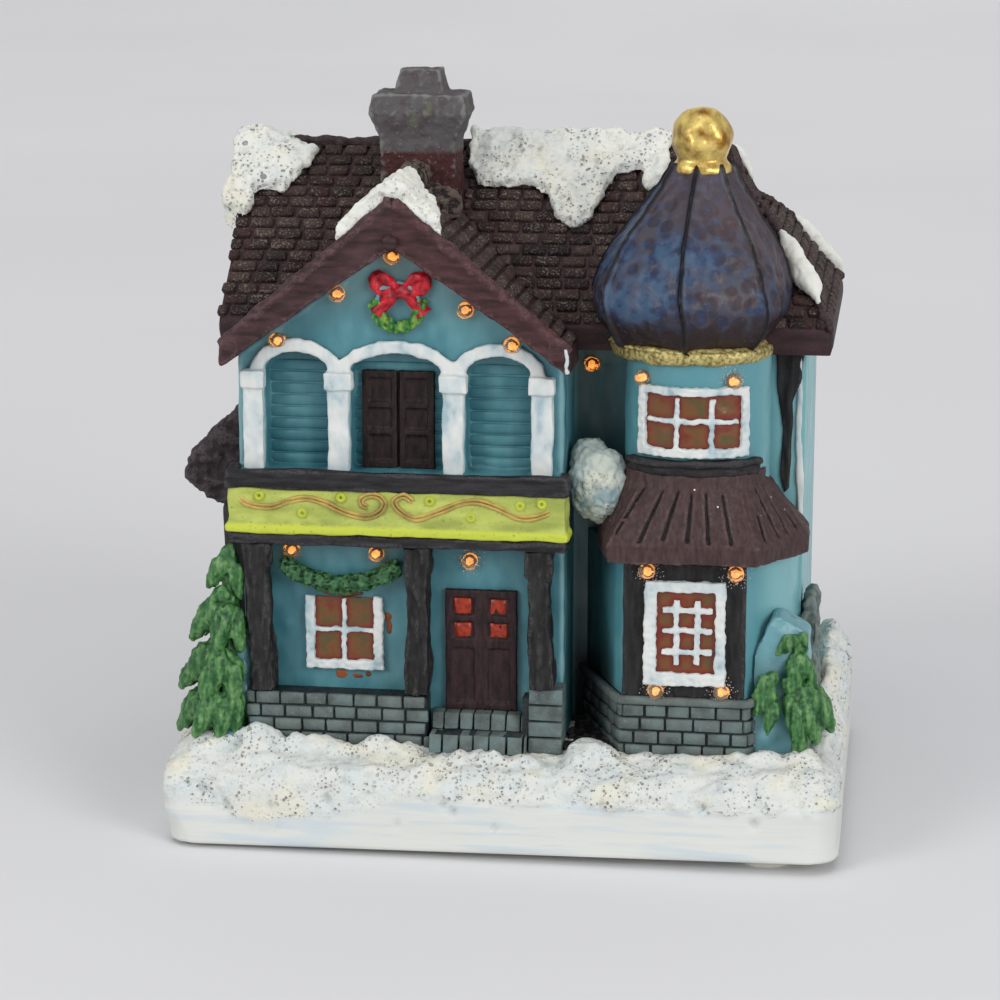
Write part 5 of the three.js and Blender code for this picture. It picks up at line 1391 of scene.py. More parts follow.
def make_windows():
    make_window("porch_window", "porch_window",
                [(-35.4, -33.9, 27.5, 40.0), (-24.0, -22.4, 27.5, 40.0), (-35.4, -22.4, 27.5, 29.1)],
                [(-29.3, -28.6, 28.6, 39.6), (-34.5, -23.4, 33.9, 34.6)],
                [(-28.95, 34.2, 0.75)], PORCH_FRONT, 1.15, 3)
    make_window("bay_window", "bay_window",
                [(21.1, 23.1, 28.3, 45.6), (32.6, 34.3, 28.3, 45.6),
                 (21.1, 34.3, 28.3, 30.4), (21.1, 34.3, 43.9, 45.6)],
                [(25.9, 26.8, 31.7, 42.6), (29.2, 30.1, 31.7, 42.6), (24.0, 32.1, 40.4, 41.3),
                 (24.0, 32.1, 37.0, 37.9), (24.0, 32.1, 33.5, 34.4)],
                [(26.35, 40.9, 0.7), (29.65, 40.9, 0.7), (26.35, 37.4, 0.7), (29.65, 37.4, 0.7),
                 (26.35, 33.9, 0.7), (29.65, 33.9, 0.7)], BAY_FACE, 1.15, 5)
    half = TOWER_RADIUS * math.asin(8.9 / 12.6)
    left, right = TOWER_X - half, TOWER_X + half
    step = (right - left) / 3
    make_window("tower_window", "tower_window",
                [(left + 0.2, left + 1.6, 65.7, 77.0), (right - 1.5, right - 0.2, 65.7, 77.0),
                 (left + 0.2, right - 0.2, 65.7, 67.1), (left + 0.2, right - 0.2, 75.8, 77.0)],
                [(left + step + 0.3, left + step + 1.1, 66.9, 75.2),
                 (left + 2 * step - 0.5, left + 2 * step + 0.3, 66.9, 75.2),
                 (left + 2.0, right - 2.0, 71.1, 71.9)],
                [(left + step + 0.7, 71.5, 0.6), (left + 2 * step - 0.1, 71.5, 0.6)],
                0.0, 1.25, 8, bend=True)


make_windows()


DOOR_LIGHTS_X, DOOR_LIGHTS_Z = (-10.9, -5.0), ((33.6, 36.5), (37.5, 40.6))


def make_door_glow():
    """The reddish panes of the front door."""
    panes = bmesh.new()
    for left in DOOR_LIGHTS_X:
        for low, high in DOOR_LIGHTS_Z:
            add_box(panes, (left + 0.4, -27.85, low + 0.2), (left + 3.2, -27.5, high - 0.2), 0.3)
    bmesh.ops.subdivide_edges(panes, edges=panes.edges[:], cuts=2, use_grid_fill=True)
    roughen(panes, 0.3, 1.2, 103)
    settle("door_lights", panes, DOOR_GLOW, "led")


make_door_glow()


# Stonework: the lines of its faces in plan, and each step's front, foot and top
WING_STONE_LINE = [(-44.6, -27.2), (-44.6, -32.5), (-14.0, -32.5)]
BAY_STONE_LINE = [(9.1, -14.1), (17.06, -31.8), (37.94, -31.8), (44.8, -21.36), (46.2, -14.1)]
BAY_STONE_TOP = 24.7
STEPS = ((-31.0, 18.9, 21.4), (-34.5, 15.8, 18.7))
STEPS_LEFT, STEPS_RIGHT = -14.0, 2.2
SIDE_BLOCK = ((15.8, 18.2), (18.5, 20.9), (21.2, 23.6), (23.9, 26.4))


def shrink_sides(shape, amount, top):
    """Draws the upright faces of a stone core in, so that its bricks stand proud."""
    middle = sum((vert.co for vert in shape.verts), Vector()) / len(shape.verts)
    for vert in shape.verts:
        for i in (0, 1):
            vert.co[i] += amount if vert.co[i] < middle[i] else -amount
        if vert.co.z > middle.z:
            vert.co.z -= top
    return shape


def make_stonework():
    core = shrink_sides(node_shape("wing_plinth"), 0.55, 0.3)
    settle("wing_stone_core", soften(core, 0.3), JOINT, "stonework", "wing_plinth", sharp=50)
    bricks = toned()
    back, corner, front = WING_STONE_LINE
    lay_wall(bricks, 111, corner, front, DECK - 0.3, STONE_TOP)
    lay_wall(bricks, 112, back, corner, DECK - 0.3, STONE_TOP)
    roughen(bricks, 0.16, 1.5, 113)
    settle("wing_stone_bricks", bricks, STONE, "stonework", sharp=60)
    core = shrink_sides(node_shape("tower_plinth"), 0.5, 0.3)
    settle("bay_stone_core", soften(core, 0.3), JOINT, "stonework", "tower_plinth", sharp=50)
    bricks = toned()
    faces = list(zip(BAY_STONE_LINE, BAY_STONE_LINE[1:]))
    for i, (start, end) in enumerate(faces):
        lay_wall(bricks, 115 + i, start, end, DECK - 0.3, BAY_STONE_TOP)
    for start, end in faces:
        way = Vector((end[0] - start[0], end[1] - start[1], 0))
        angle = math.atan2(way.y, way.x)
        middle = Vector(((start[0] + end[0]) / 2, (start[1] + end[1]) / 2, BAY_STONE_TOP + 0.7))
        size = Matrix.Diagonal((way.length + 0.3, 1.2, 1.3, 1.0))
        matrix = Matrix.Translation(middle) @ Matrix.Rotation(angle, 4, "Z") @ size
        add_block(bricks, matrix, 0.25, 0.8)
    roughen(bricks, 0.18, 1.6, 119)
    settle("bay_stone_bricks", bricks, STONE, "stonework", sharp=60)


def make_steps():
    shape = toned()
    chance = random.Random(121)
    for front, low, high in STEPS:
        x = STEPS_LEFT
        while x < STEPS_RIGHT - 0.1:
            width = min(chance.uniform(2.0, 2.9), STEPS_RIGHT - x)
            points = [(front, low), (front + 0.9, high), (PORCH_FRONT, high), (PORCH_FRONT, low)]
            add_outline(shape, [(x + 0.14, y, z) for y, z in points], (width - 0.28, 0, 0))
            x += width
    for row, (low, high) in enumerate(SIDE_BLOCK):
        add_box(shape, (2.3, -32.4 + 0.2 * row, low), (7.8, -27.0, high))
    bmesh.ops.recalc_face_normals(shape, faces=shape.faces)
    take_off(shape, shape.edges[:], 0.2)
    roughen(shape, 0.16, 1.6, 122)
    settle("step_stones", shape, STONE, "stonework", sharp=60)
    core = shrink_sides(node_shape("steps"), 1.0, 1.6)
    settle("step_core", core, JOINT, "stonework", "steps", sharp=50)


make_stonework()
make_steps()


# Snow
BANKS = [  # x, y, height over the deck, reach along x and y
    (-42, -33.6, 3.4, 5, 3.2), (-36, -34, 2.3, 5, 2.6), (-29, -34, 1.2, 5, 2.2),
    (-22.5, -34, 2.1, 4.5, 2.4), (-17.5, -34, 1.0, 3, 2), (-50, -33, 1.8, 5, 5),
    (12.6, -33, 3.0, 4.6, 4.6), (21, -33.4, 0.9, 4, 1.9), (30, -33.6, 0.6, 5, 1.7),
    (39.5, -32, 2.0, 5, 3), (47, -32, 1.9, 4, 3.4), (50, -17, 4.4, 3, 8), (50.2, -5, 10.5, 3.2, 6),
    (50, 14, 11.5, 3.4, 8), (50, 27, 7, 3.6, 8), (20, 38, 2.5, 12, 3.6), (-10, 38, 2, 14, 3.5),
    (-38, 38, 3, 10, 3.8), (-50.6, -12, 2.5, 4, 7), (-50.4, 20, 3, 4.2, 12),
    (-12.5, -36, 1.0, 2.2, 1.4), (-8.4, -36.2, 0.8, 2.4, 1.5), (-3, -36.2, 1.1, 2.6, 1.5),
    (2.2, -36, 0.9, 2.4, 1.4),
]
CRUST_LINE = [  # across, and the height where the smooth foot ends and the crust begins
    (-58, 8.6), (-50, 7.6), (-42, 5.4), (-29, 6.9), (-17, 10.0), (16, 10.2), (31, 9.8), (47, 11.0),
    (56, 10.8)]
BASE_LEFT, BASE_RIGHT, BASE_FRONT, BASE_BACK = -57.0, 53.5, -42.0, 42.0
BASE_RIM = 2.5
BASE_DROOP_LEFT, BASE_DROOP_RIGHT = 1.9, 0.5
BASE_PITS = [(-46.3, 7.9), (-38.7, 8.7), (-29.6, 9.6), (-26.4, 12.4), (-10.4, 9.5), (-8.6, 8.3)]
BASE_PIT_REACH, BASE_PIT_DEPTH = 1.3, 0.9


def crust_height(point):
    """Where the smooth foot of the base gives way to the porous crust."""
    height = 9.0
    for (x0, z0), (x1, z1) in zip(CRUST_LINE, CRUST_LINE[1:]):
        if x0 <= point.x <= x1:
            height = z0 + (z1 - z0) * (point.x - x0) / (x1 - x0)
    ragged = noise.noise(Vector((point.x / 2.6, point.y / 2.6, 0)))
    return height + 1.2 * ragged + 0.5 * noise.noise(Vector((point.x / 0.9, point.y / 0.9, 5)))


def in_rim(point):
    """Whether a place is in the outer rim of the base."""
    return (point.x < BASE_LEFT + BASE_RIM or point.x > BASE_RIGHT - BASE_RIM
            or point.y < BASE_FRONT + BASE_RIM or point.y > BASE_BACK - BASE_RIM)


def in_pitted_band(point):
    return 6 < point.z < 20 and (point.y < -30 or point.x > 47 or point.y > 36)


def base_froth(point):
    line = crust_height(point)
    return part_way(point.z, line - 0.3, line + 0.3)


def press_pits(skin):
    """The larger pits along the front of the base."""
    for x, z in BASE_PITS:
        centre = min(skin.verts, key=lambda v: (v.co.x - x) ** 2 + (v.co.z - z) ** 2 + v.co.y)
        for vert in skin.verts:
            away = (vert.co - centre.co).length
            if away < BASE_PIT_REACH and vert.co.y < -30:
                vert.co.y += BASE_PIT_DEPTH * (1 - (away / BASE_PIT_REACH) ** 2)


def droop_rim(skin):
    """The rim's foot hangs down, more on the left, and the left side bulges."""
    for vert in skin.verts:
        if vert.co.z < 8.0 and in_rim(vert.co):
            share = (vert.co.x - BASE_LEFT) / (BASE_RIGHT - BASE_LEFT)
            droop = BASE_DROOP_LEFT + (BASE_DROOP_RIGHT - BASE_DROOP_LEFT) * share
            vert.co.z -= droop * min((8.0 - vert.co.z) / 5.5, 1.0)
        if vert.co.x < -52.0 and 3.0 < vert.co.z < 16.0:
            vert.co.x -= 1.6 * min((vert.co.z - 3.0) / 3.0, (16.0 - vert.co.z) / 3.0, 1.0)


def make_base():
    shape = node_shape("snow_base")
    for x, y, height, reach_x, reach_y in BANKS:
        add_ball(shape, (x, y, DECK - 1.2), (reach_x, reach_y, height + 1.2), 3)
    skin = recast(shape, 0.55, 3)
    roughen(skin, 1.1, 5.0, 131, where=base_froth)
    roughen(skin, 0.5, 1.7, 132, where=base_froth)
    roughen(skin, 0.22, 0.8, 135, where=base_froth)
    roughen(skin, 0.6, 7.0, 133, stretch=(3, 3, 1), where=lambda p: 1.0 if p.z > 3 else 0.0)
    for vert in skin.verts:
        if vert.co.z > 3.0 and in_rim(vert.co):
            vert.co -= vert.normal * 0.2 * (1.0 - base_froth(vert.co))
    pit(skin, 130, 0.9, 0.6, 134, in_pitted_band)
    press_pits(skin)
    droop_rim(skin)
    mark_froth(skin, base_froth)
    settle("snow_bank", mark_wear_and_hollow_shade(skin), SNOW, "snow", "snow_base")


def make_cap(name, piece, material, voxel, seed, depth=0.9, pits=30, froth=1.0, lowered=()):
    shape = node_shape(name)
    if lowered:
        keep_side(shape, *lowered)
    skin = rough_cast(shape, voxel, 6, (depth, 3.0, seed), (depth * 0.4, 1.1, seed + 1))
    if pits:
        pit(skin, pits, 0.7, 0.6, seed + 2, lambda p: True)
    mark_froth(skin, lambda p: froth)
    settle(piece, mark_wear_and_hollow_shade(skin), material, "snow", name)


def make_drift():
    """The blob of snow in the valley, greyer than the rest, grey above and cream below."""
    shape = bmesh.new()
    add_ball(shape, (12.9, -24.6, 59.4), (5.2, 5.4, 6.2), 4)
    add_ball(shape, (11.4, -22.6, 62.0), (3.8, 4.6, 4.4), 4)
    skin = rough_cast(shape, 0.28, 3, (0.9, 4.0, 160), (0.4, 1.0, 161))
    pit(skin, 70, 0.5, 0.45, 162, lambda p: p.y < -22)
    mark_froth(skin, lambda p: min(max((64.0 - p.z) / 4.0, 0.25), 1.0))
    settle("valley_snow", mark_wear_and_hollow_shade(skin), SNOW_BLUE, "snow", "snow_drift")


def make_patches():
    """Thin smears of snow along the hips."""
    shape = bmesh.new()
    for eave_y, start, end, wide, side in ((ROOF_FRONT, 0.14, 0.52, 1.9, -1.2),
                                           (ROOF_BACK, 0.02, 0.46, 1.7, 0.4),
                                           (ROOF_BACK, 0.86, 1.0, 1.3, 0.0)):
        line = [hip_point(eave_y, start + (end - start) * i / 8) + Vector((0, side, 0))
                for i in range(9)]
        radii = [wide * r for r in (0.3, 0.62, 0.9, 1.0, 0.95, 0.85, 0.8, 0.6, 0.3)]
        add_rod(shape, line, radii, 10)
    skin = sag(recast(shape, 0.3, 3))
    roughen(skin, 0.6, 2.6, 141)
    roughen(skin, 0.16, 0.8, 142)
    mark_froth(skin, lambda p: 0.1)
    settle("hip_snow", mark_wear_and_hollow_shade(skin), SNOW_SMOOTH, "snow")


def make_recess():
    """The dark floor between the wing and the bay."""
    shape = bmesh.new()
    add_box(shape, (7.8, -31.5, DECK - 0.5), (17.5, HOUSE_FRONT - 0.1, DECK + 0.9))
    settle("recess_floor", cast(shape, 0.4, 3, (0.9, 1.6, 145)), BLACK, "snow")


make_base()
make_cap("snow_ridge_left", "ridge_snow_left", SNOW_CAP, 0.36, 151, pits=60,
         lowered=((-50.4, 0, 114.3), (0.342, 0, 0.94)))
make_cap("snow_ridge_right", "ridge_snow_right", SNOW_CAP, 0.36, 154, pits=90)
make_cap("snow_gable", "gable_snow", SNOW_SMOOTH, 0.3, 157, 0.7, 26, 0.6)
make_drift()
make_patches()
make_recess()


# Planting and ornaments
FROND = (0.5, 0.78, 0.95, 1.0, 1.0, 0.93, 0.82, 0.68, 0.52, 0.34, 0.14)
LEFT_FRONDS = [  # root, tip, width
    ((-47.6, -29.6, 44.6), (-47.8, -29.6, 48.6), 1.7), ((-47.2, -30.0, 46.6), (-51.4, -30.4, 41.2), 1.9),
    ((-47.0, -30.0, 45.5), (-45.6, -31.0, 39.5), 1.5), ((-47.6, -30.6, 40.5), (-51.0, -31.6, 38.6), 1.4),
    ((-47.6, -30.0, 39.6), (-54.5, -30.4, 32.2), 2.3), ((-47.0, -31.0, 38.6), (-49.6, -33.4, 30.6), 2.2),
    ((-46.6, -30.6, 38.0), (-45.6, -31.6, 30.5), 1.7), ((-48.6, -30.6, 31.6), (-56.3, -30.6, 24.0), 2.7),
    ((-48.0, -31.6, 31.0), (-51.6, -34.6, 22.6), 2.5), ((-47.2, -31.2, 30.0), (-46.4, -34.2, 22.0), 2.2),
    ((-49.8, -30.6, 24.0), (-56.6, -31.0, 16.9), 2.6), ((-48.8, -32.0, 23.4), (-53.2, -35.0, 16.8), 2.5),
    ((-47.6, -32.0, 23.6), (-48.8, -35.4, 16.8), 2.5), ((-46.8, -31.6, 24.0), (-46.2, -34.0, 17.0), 1.9),
    ((-48.4, -28.4, 40.0), (-53.0, -26.6, 32.0), 2.0), ((-49.0, -28.4, 31.0), (-54.6, -25.6, 23.6), 2.4),
    ((-50.0, -28.0, 23.6), (-55.4, -24.6, 16.8), 2.6)]
RIGHT_FRONDS = [
    ((45.7, -27.6, 35.8), (41.8, -28.6, 32.2), 1.3), ((45.9, -27.2, 36.4), (47.4, -27.0, 33.0), 0.9),
    ((45.0, -28.0, 33.4), (48.9, -28.0, 27.2), 1.6), ((44.6, -28.4, 32.0), (46.2, -29.4, 26.6), 1.4),
    ((42.4, -29.4, 29.6), (38.9, -31.0, 26.0), 1.5), ((42.6, -29.8, 27.2), (39.0, -31.4, 23.2), 1.4),
    ((42.2, -30.4, 25.8), (41.2, -31.6, 20.2), 1.4), ((46.2, -28.0, 27.8), (51.9, -28.2, 20.4), 2.4),
    ((45.8, -28.8, 27.0), (49.6, -30.4, 18.4), 1.9), ((45.0, -29.4, 26.6), (46.8, -31.4, 16.4), 1.8),
    ((43.6, -29.4, 28.2), (46.0, -29.4, 26.6), 1.3), ((47.4, -26.0, 27.0), (51.2, -23.0, 19.0), 2.0)]


def make_pine(name, piece, fronds, core, seed):
    """A fir of folded fronds round a short trunk."""
    shape = bmesh.new()
    trunk = smooth_line([Vector(point) for point, _ in core], 4)
    widths = [width for _, width in core]
    radii = []
    for i in range(len(trunk)):
        place = i / 4
        low = min(int(place), len(widths) - 2)
        radii.append(widths[low] + (widths[low + 1] - widths[low]) * (place - low))
    add_rod(shape, trunk, radii, 10)
    for root, tip, width in fronds:
        root, tip = Vector(root), Vector(tip)
        bend = (root + tip) / 2 + Vector((0, -0.3, 0.7))
        add_rod(shape, smooth_line([root, bend, tip], 5), [width * r for r in FROND], 8)
    skin = rough_cast(shape, 0.26, 2, (0.55, 1.1, seed, (1, 1, 4)), (0.2, 0.6, seed + 1))
    for vert in skin.verts:
        vert.co.z = max(vert.co.z, DECK)
    settle(piece, mark_wear_and_hollow_shade(skin), LEAF, "leaf", name)


def make_clear_resin():
    """The blocks of clouded resin behind the firs."""
    shape = bmesh.new()
    plan = [(38.8, -28.8), (38.8, -30.0), (43.0, -28.6), (47.4, -27.0), (47.6, -21.0), (44.0, -21.0)]
    add_outline(shape, [(x, y, 15.0) for x, y in plan], (0, 0, 24.5))
    keep_side(shape, (43.6, 0, 39.0), (0.66, 0, 1.0))
    keep_side(shape, (38.8, 0, 33.4), (-1.0, 0, 0.45))
    settle("resin_block_right", cast(shape, 0.4, 4, (0.5, 3.0, 208)), RESIN_BLUE, "leaf")
    shape = bmesh.new()
    add_ball(shape, (-45.9, -29.9, 27.0), (1.8, 1.5, 11.0), 4)
    add_ball(shape, (-46.5, -33.0, 17.0), (3.4, 1.8, 1.6), 4)
    settle("resin_film_left", cast(shape, 0.34, 3, (0.5, 2.4, 209)), RESIN_BLUE, "leaf")


GARLAND_X, GARLAND_HALF, GARLAND_RISE = -29.3, 9.7, 3.4
GARLAND_RADIUS = 1.45
GARLAND_LOW = 40.75 + GARLAND_RADIUS


def make_garland():
    chance = random.Random(171)
    shape = node_shape("garland")
    centre_y = PORCH_FRONT - 0.3 - GARLAND_RADIUS
    for _ in range(190):
        t = chance.uniform(-1.0, 1.0)
        spot = Vector((GARLAND_X + GARLAND_HALF * t, centre_y, GARLAND_LOW + GARLAND_RISE * t * t))
        turn = chance.uniform(0, 2 * math.pi)
        spot += Vector((chance.uniform(-0.4, 0.4), -abs(math.cos(turn)) * 1.2, math.sin(turn) * 1.35))
        size = chance.uniform(0.35, 0.62)
        add_ball(shape, spot, (size * 1.3, size, size), 1)
    skin = rough_cast(shape, 0.2, 2, (0.5, 0.9, 172))
    pit(skin, 260, 0.42, 0.5, 173, lambda p: True)
    settle("leaf_garland", mark_wear_and_hollow_shade(skin), GARLAND, "leaf", "garland")


WREATH_CENTRE = Vector((-19.3, WING_FRONT - 1.0, 88.9))
WREATH_RADIUS = 3.5


def make_wreath():
    chance = random.Random(181)
    leaves = bmesh.new()
    for _ in range(130):
        turn = chance.uniform(math.radians(172), math.radians(368))
        reach = WREATH_RADIUS + chance.uniform(-0.75, 0.8)
        spot = WREATH_CENTRE + Vector((math.cos(turn) * reach, chance.uniform(-0.5, 0.6),
                                       math.sin(turn) * reach))
        size = chance.uniform(0.34, 0.6)
        add_ball(leaves, spot, (size, size, size * 1.1), 1)
    settle("wreath_leaves", cast(leaves, 0.18, 2, (0.3, 0.7, 182)), WREATH, "leaf", "wreath")
    ring = bmesh.new()
    line = [WREATH_CENTRE + Vector((math.cos(a) * WREATH_RADIUS, 0.2, math.sin(a) * WREATH_RADIUS))
            for a in [math.radians(t) for t in range(-20, 201, 10)]]
    add_rod(ring, line, [0.5] * len(line), 10)
    settle("wreath_resin", cast(ring, 0.2, 3, (0.3, 1.2, 183)), TEAL, "leaf")


KNOT = Vector((-18.9, WING_FRONT - 0.7, 91.2))
BOW_LOOP = [(0, 0, 0), (1.6, -0.3, 1.6), (3.2, -0.2, 2.5), (4.4, -0.1, 1.9), (3.9, 0, 0.3),
            (2.0, 0, -0.3), (0, 0, 0)]
BOW_TAIL = [(0, 0, 0), (1.7, -0.2, -1.3), (2.9, 0.1, -2.6), (3.8, 0.1, -3.8)]


def make_bow():
    shape = bmesh.new()
    add_ball(shape, KNOT + Vector((0, -0.3, 0)), (1.0, 1.1, 1.2), 2)
    for side in (-1, 1):
        line, tail = (smooth_line([KNOT + Vector((side * x, y, z)) for x, y, z in places], 5)
                      for places in (BOW_LOOP, BOW_TAIL))
        add_rod(shape, line, [0.72] * len(line), 8)
        add_ball(shape, KNOT + Vector((side * 2.8, 0.1, 1.1)), (1.9, 0.6, 1.6), 2)
        add_rod(shape, tail, [0.7 + 0.05 * i for i in range(len(tail))], 8)
    skin = recast(shape, 0.19, 3)
    for vert in skin.verts:
        vert.co.y = min(vert.co.y, WING_FRONT + 0.3)
    roughen(skin, 0.4, 1.1, 192)
    settle("ribbon_bow", mark_wear_and_hollow_shade(skin), RED, "ribbon", "bow")


make_pine("pine_left", "fir_left", LEFT_FRONDS,
          [((-48.0, -29.6, 16.0), 3.4), ((-47.8, -29.6, 32.0), 2.2), ((-47.6, -29.6, 47.0), 1.0)], 201)
make_pine("pine_right", "fir_right", RIGHT_FRONDS,
          [((46.2, -26.4, 16.0), 2.0), ((46.0, -27.0, 28.0), 1.5), ((45.9, -27.2, 35.4), 0.6)], 204)
make_clear_resin()
make_garland()
make_wreath()
make_bow()


# Light points: a bead of clear glue round each fibre's end
GABLE_LIGHTS = ((-0.8, 2.1), (-9.8, 1.9), (-19.6, 2.7), (11.1, 3.2), (18.6, 3.4))  # across, down
PORCH_LIGHTS = ((-37.6, 47.5), (-23.5, 47.3), (-8.0, 46.6))
WALL_LIGHT = (10.4, HOUSE_FRONT, 77.4)
TOWER_LIGHT_TURNS, TOWER_LIGHT_Z = (-42, 31), 78.0
BAY_LIGHTS = ((21.5, 47.2), (35.7, 47.2), (23.1, 27.2), (33.7, 27.4))
FORWARD = Vector((0, -1, 0))


def light_places():
    """Where each fibre ends, and the way that it looks."""
    front = [(GABLE_X + across, WING_FRONT, UNDER_APEX - abs(across) * UNDER_SLOPE - drop)
             for across, drop in GABLE_LIGHTS]
    front += [(x, PORCH_FRONT, z) for x, z in PORCH_LIGHTS] + [WALL_LIGHT]
    places = [(Vector(spot), FORWARD) for spot in front]
    for turn in TOWER_LIGHT_TURNS:
        way = Vector((math.sin(math.radians(turn)), -math.cos(math.radians(turn)), 0))
        places.append((Vector((TOWER_X, TOWER_Y, TOWER_LIGHT_Z)) + way * TOWER_RADIUS, way))
    return places + [(Vector((x, BAY_FACE, z)), FORWARD) for x, z in BAY_LIGHTS]


def add_disc(shape, spot, way, radius, rise, flat):
    axes = way.to_track_quat("Z", "Y").to_matrix().to_4x4()
    matrix = Matrix.Translation(spot + way * rise) @ axes @ Matrix.Diagonal((radius, radius, flat, 1))
    bmesh.ops.create_icosphere(shape, subdivisions=3, radius=1.0, matrix=matrix)


HALO_LIGHTS = (7, 10, 11, 12, 13, 14)  # those with specks of glue round them


def make_lights():
    chance = random.Random(213)
    beads, tips, sockets, halo = (bmesh.new() for _ in range(4))
    for i, (spot, way) in enumerate(light_places()):
        side = way.cross(Vector((0, 0, 1))).normalized()
        lean = chance.uniform(-0.45, 0.45)
        add_disc(beads, spot, way, 1.35, 0.75, 1.15)
        add_disc(sockets, spot, way, 0.75, 0.15, 0.25)
        tip = spot + side * lean + Vector((0, 0, chance.uniform(-0.35, 0.15)))
        add_disc(tips, tip, way, 0.4, 0.7, 0.4)
        add_disc(tips, tip - side * 0.55 + Vector((0, 0, 0.15)), way, 0.2, 0.8, 0.2)
        if i in HALO_LIGHTS:
            for _ in range(120):
                turn, reach = chance.uniform(0, 2 * math.pi), 1.1 + 1.7 * chance.random() ** 1.8
                place = spot + side * (math.cos(turn) * reach) + Vector((0, 0, math.sin(turn) * reach))
                size = chance.uniform(0.045, 0.11)
                add_ball(halo, place + way * 0.12, (size, size, size), 1)
    roughen(beads, 0.25, 1.3, 211)
    settle("glue_beads", beads, BEAD, "fibre")
    roughen(tips, 0.2, 0.8, 212)
    settle("light_tips", tips, GLOW, "fibre")
    settle("fibre_sockets", roughen(sockets, 0.15, 0.8, 214), SOCKET, "fibre")
    settle("glue_specks", halo, WHITE, "fibre")


WALL_SMEARS = (  # outline of a smear on the wall right of the tower, and its finish
    ([(40.6, 81.5), (45.2, 81.0), (45.0, 76), (43.6, 72), (43.4, 62), (43.2, 57.5), (42.4, 56.5),
      (41.6, 60), (41.9, 67), (40.9, 74)], "black"),
    ([(44.0, 79), (44.9, 80), (45.0, 66), (45.6, 60), (45.6, 48), (44.9, 46), (44.6, 54), (44.1, 64)],
     "white"))
PILASTER = [(44.4, 15), (48.6, 15), (48.2, 30), (48.4, 37.5), (47.4, 39.6), (46.2, 38.8), (45.4, 33),
            (44.6, 28)]


RUST_SPOTS = (  # across, up, width and height
    (-21.8, 36.4, 0.7, 0.9), (-21.6, 34.8, 0.5, 1.2), (-29.6, 26.4, 1.1, 0.7),
    (-27.0, 26.2, 0.9, 0.6), (-25.2, 26.6, 0.5, 0.4), (-29.2, 40.4, 3.4, 0.6))
DRIP_LINE = [(8.3, -33.9, 83.2), (8.6, -34.0, 81.6), (8.5, -34.0, 80.2), (8.7, -33.9, 79.2)]


def make_small_smears():
    """Rust beside the porch window and a drip of white at the gable's tip."""
    rust = bmesh.new()
    for x, z, wide, tall in RUST_SPOTS:
        add_ball(rust, (x, PORCH_FRONT, z), (wide, 0.16, tall), 3)
    settle("window_rust", roughen(rust, 0.25, 0.9, 227), RUST, "wall", sharp=80)
    drip = bmesh.new()
    line = smooth_line(DRIP_LINE, 4)
    add_rod(drip, line, [0.24 + 0.03 * (i % 4) for i in range(len(line))], 8)
    settle("gable_tip_drip", roughen(drip, 0.15, 0.7, 228), WHITE, "snow", sharp=80)


def make_right_wall():
    """The paint smears and the rough stone strip on the wall beside the tower."""
    for i, (outline, finish_of) in enumerate(WALL_SMEARS):
        shape = bmesh.new()
        add_facade(shape, outline, HOUSE_FRONT - 0.5, HOUSE_FRONT + 0.3)
        shape = cast(shape, 0.24, 3, (0.3, 1.2, 221 + i, (1, 1, 3)))
        settle("wall_smear_" + finish_of, shape, BLACK if finish_of == "black" else WHITE, "wall")
    shape = bmesh.new()
    add_facade(shape, PILASTER, HOUSE_FRONT - 0.8, HOUSE_FRONT + 8.0)
    shape = cast(shape, 0.36, 3, (1.0, 2.6, 225, (1, 1, 2)), (0.4, 1.0, 226))
    settle("rough_pilaster", shape, STONE, "stonework")


make_right_wall()
make_small_smears()
make_lights()

# Finishes of the CAD nodes that stay, by how their names begin
KEPT = {
    "bottom_cover": COVER, "battery_box": BOX, "battery_door": COVER, "door_screw": STEEL,
    "foot_": RUBBER, "cell_": WRAP, "contact_": STEEL, "lamp": CLEAR, "fibre_bundle": GLOW,
    "switch_body": BOX, "switch_slider": BLACK_COAT, "wire_red": RED_COAT, "wire_lamp": RED_COAT,
    "wire_black": BLACK_COAT,
}
for beginning, finish_of in KEPT.items():
    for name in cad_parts:
        if name.startswith(beginning):
            for material_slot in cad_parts[name].material_slots:
                material_slot.material = finish_of


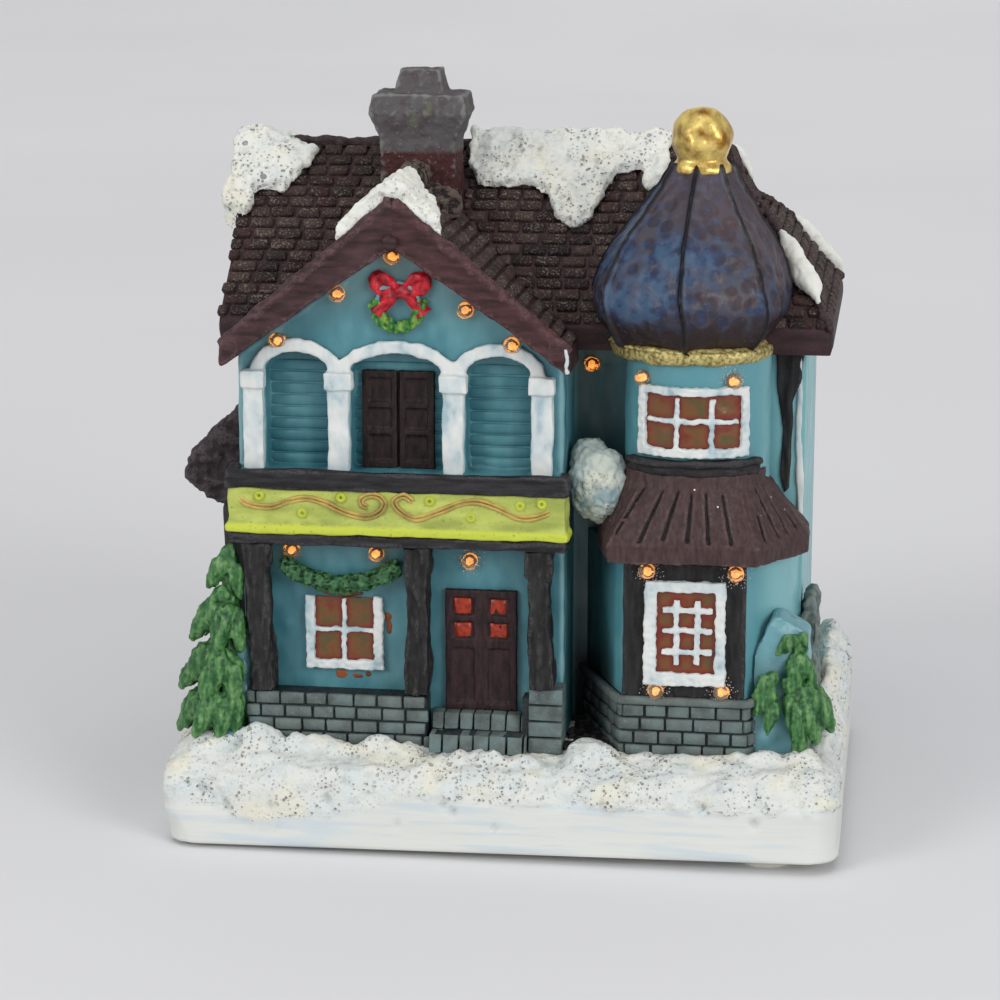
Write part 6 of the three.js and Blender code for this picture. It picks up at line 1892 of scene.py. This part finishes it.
# Floor, light and camera
def make_stage():
    shape = bmesh.new()
    line = [(-3.0, 0.0), (1.6, 0.0), (2.2, 0.06), (2.7, 0.26), (3.0, 0.6), (3.1, 1.1), (3.12, 3.6)]
    verts = [shape.verts.new((-4.0, y, z)) for y, z in line]
    edges = [shape.edges.new(pair) for pair in zip(verts, verts[1:])]
    grown = bmesh.ops.extrude_edge_only(shape, edges=edges)["geom"]
    moved = only(grown, bmesh.types.BMVert)
    bmesh.ops.translate(shape, verts=moved, vec=(8.0, 0, 0))
    bmesh.ops.recalc_face_normals(shape, faces=shape.faces)
    sweep = smooth_object("studio_sweep", shape)
    coat = paint("studio_grey", 0.9, specular=0.1)
    broad = grain(coat, 400.0)
    finish(coat, shades(coat, broad, (0.3, rgb(211, 211, 213)), (0.7, rgb(216, 216, 217))))
    sweep.data.materials.append(coat)


def make_lamp(name, spot, aim, size, power):
    data = bpy.data.lights.new(name, "AREA")
    data.shape = "RECTANGLE"
    data.size, data.size_y = size
    data.energy = power
    lamp = into_scene(name, data)
    lamp.location = spot
    lamp.rotation_euler = (Vector(aim) - Vector(spot)).to_track_quat("-Z", "Y").to_euler()


CAMERA_SPOT = Vector((0.06435, -0.4977, 0.1666))
CAMERA_AIM = Vector((0.00125, -0.049, 0.062))


LAMPS = (  # name, place, aim and size in metres, and power
    ("tent_top", (0.0, -0.5, 2.2), (0, 0, 0.0), (1.6, 1.6), 12),
    ("tent_back", (0.0, 1.2, 2.0), (0, 3.1, 0.9), (1.6, 0.8), 16),
    ("tent_left", (-1.6, -1.7, 1.0), (0, 0, 0.06), (1.1, 1.1), 24),
    ("tent_right", (1.7, -1.5, 0.8), (0, 0, 0.06), (1.1, 1.1), 27))


def make_studio():
    make_stage()
    for lamp in LAMPS:
        make_lamp(*lamp)
    world = bpy.data.worlds.new("tent")
    world.use_nodes = True
    world.node_tree.nodes["Background"].inputs["Color"].default_value = (0.98, 0.98, 1.0, 1)
    world.node_tree.nodes["Background"].inputs["Strength"].default_value = 0.52
    bpy.context.scene.world = world
    data = bpy.data.cameras.new("photo_camera")
    data.lens = 108.0
    data.sensor_width = 36.0
    data.clip_start = 0.01
    camera = into_scene("photo_camera", data)
    camera.location = CAMERA_SPOT
    camera.rotation_euler = (CAMERA_AIM - CAMERA_SPOT).to_track_quat("-Z", "Y").to_euler()
    bpy.context.scene.camera = camera
    bpy.context.scene.view_settings.view_transform = "Standard"


make_studio()

bpy.context.view_layer.update()
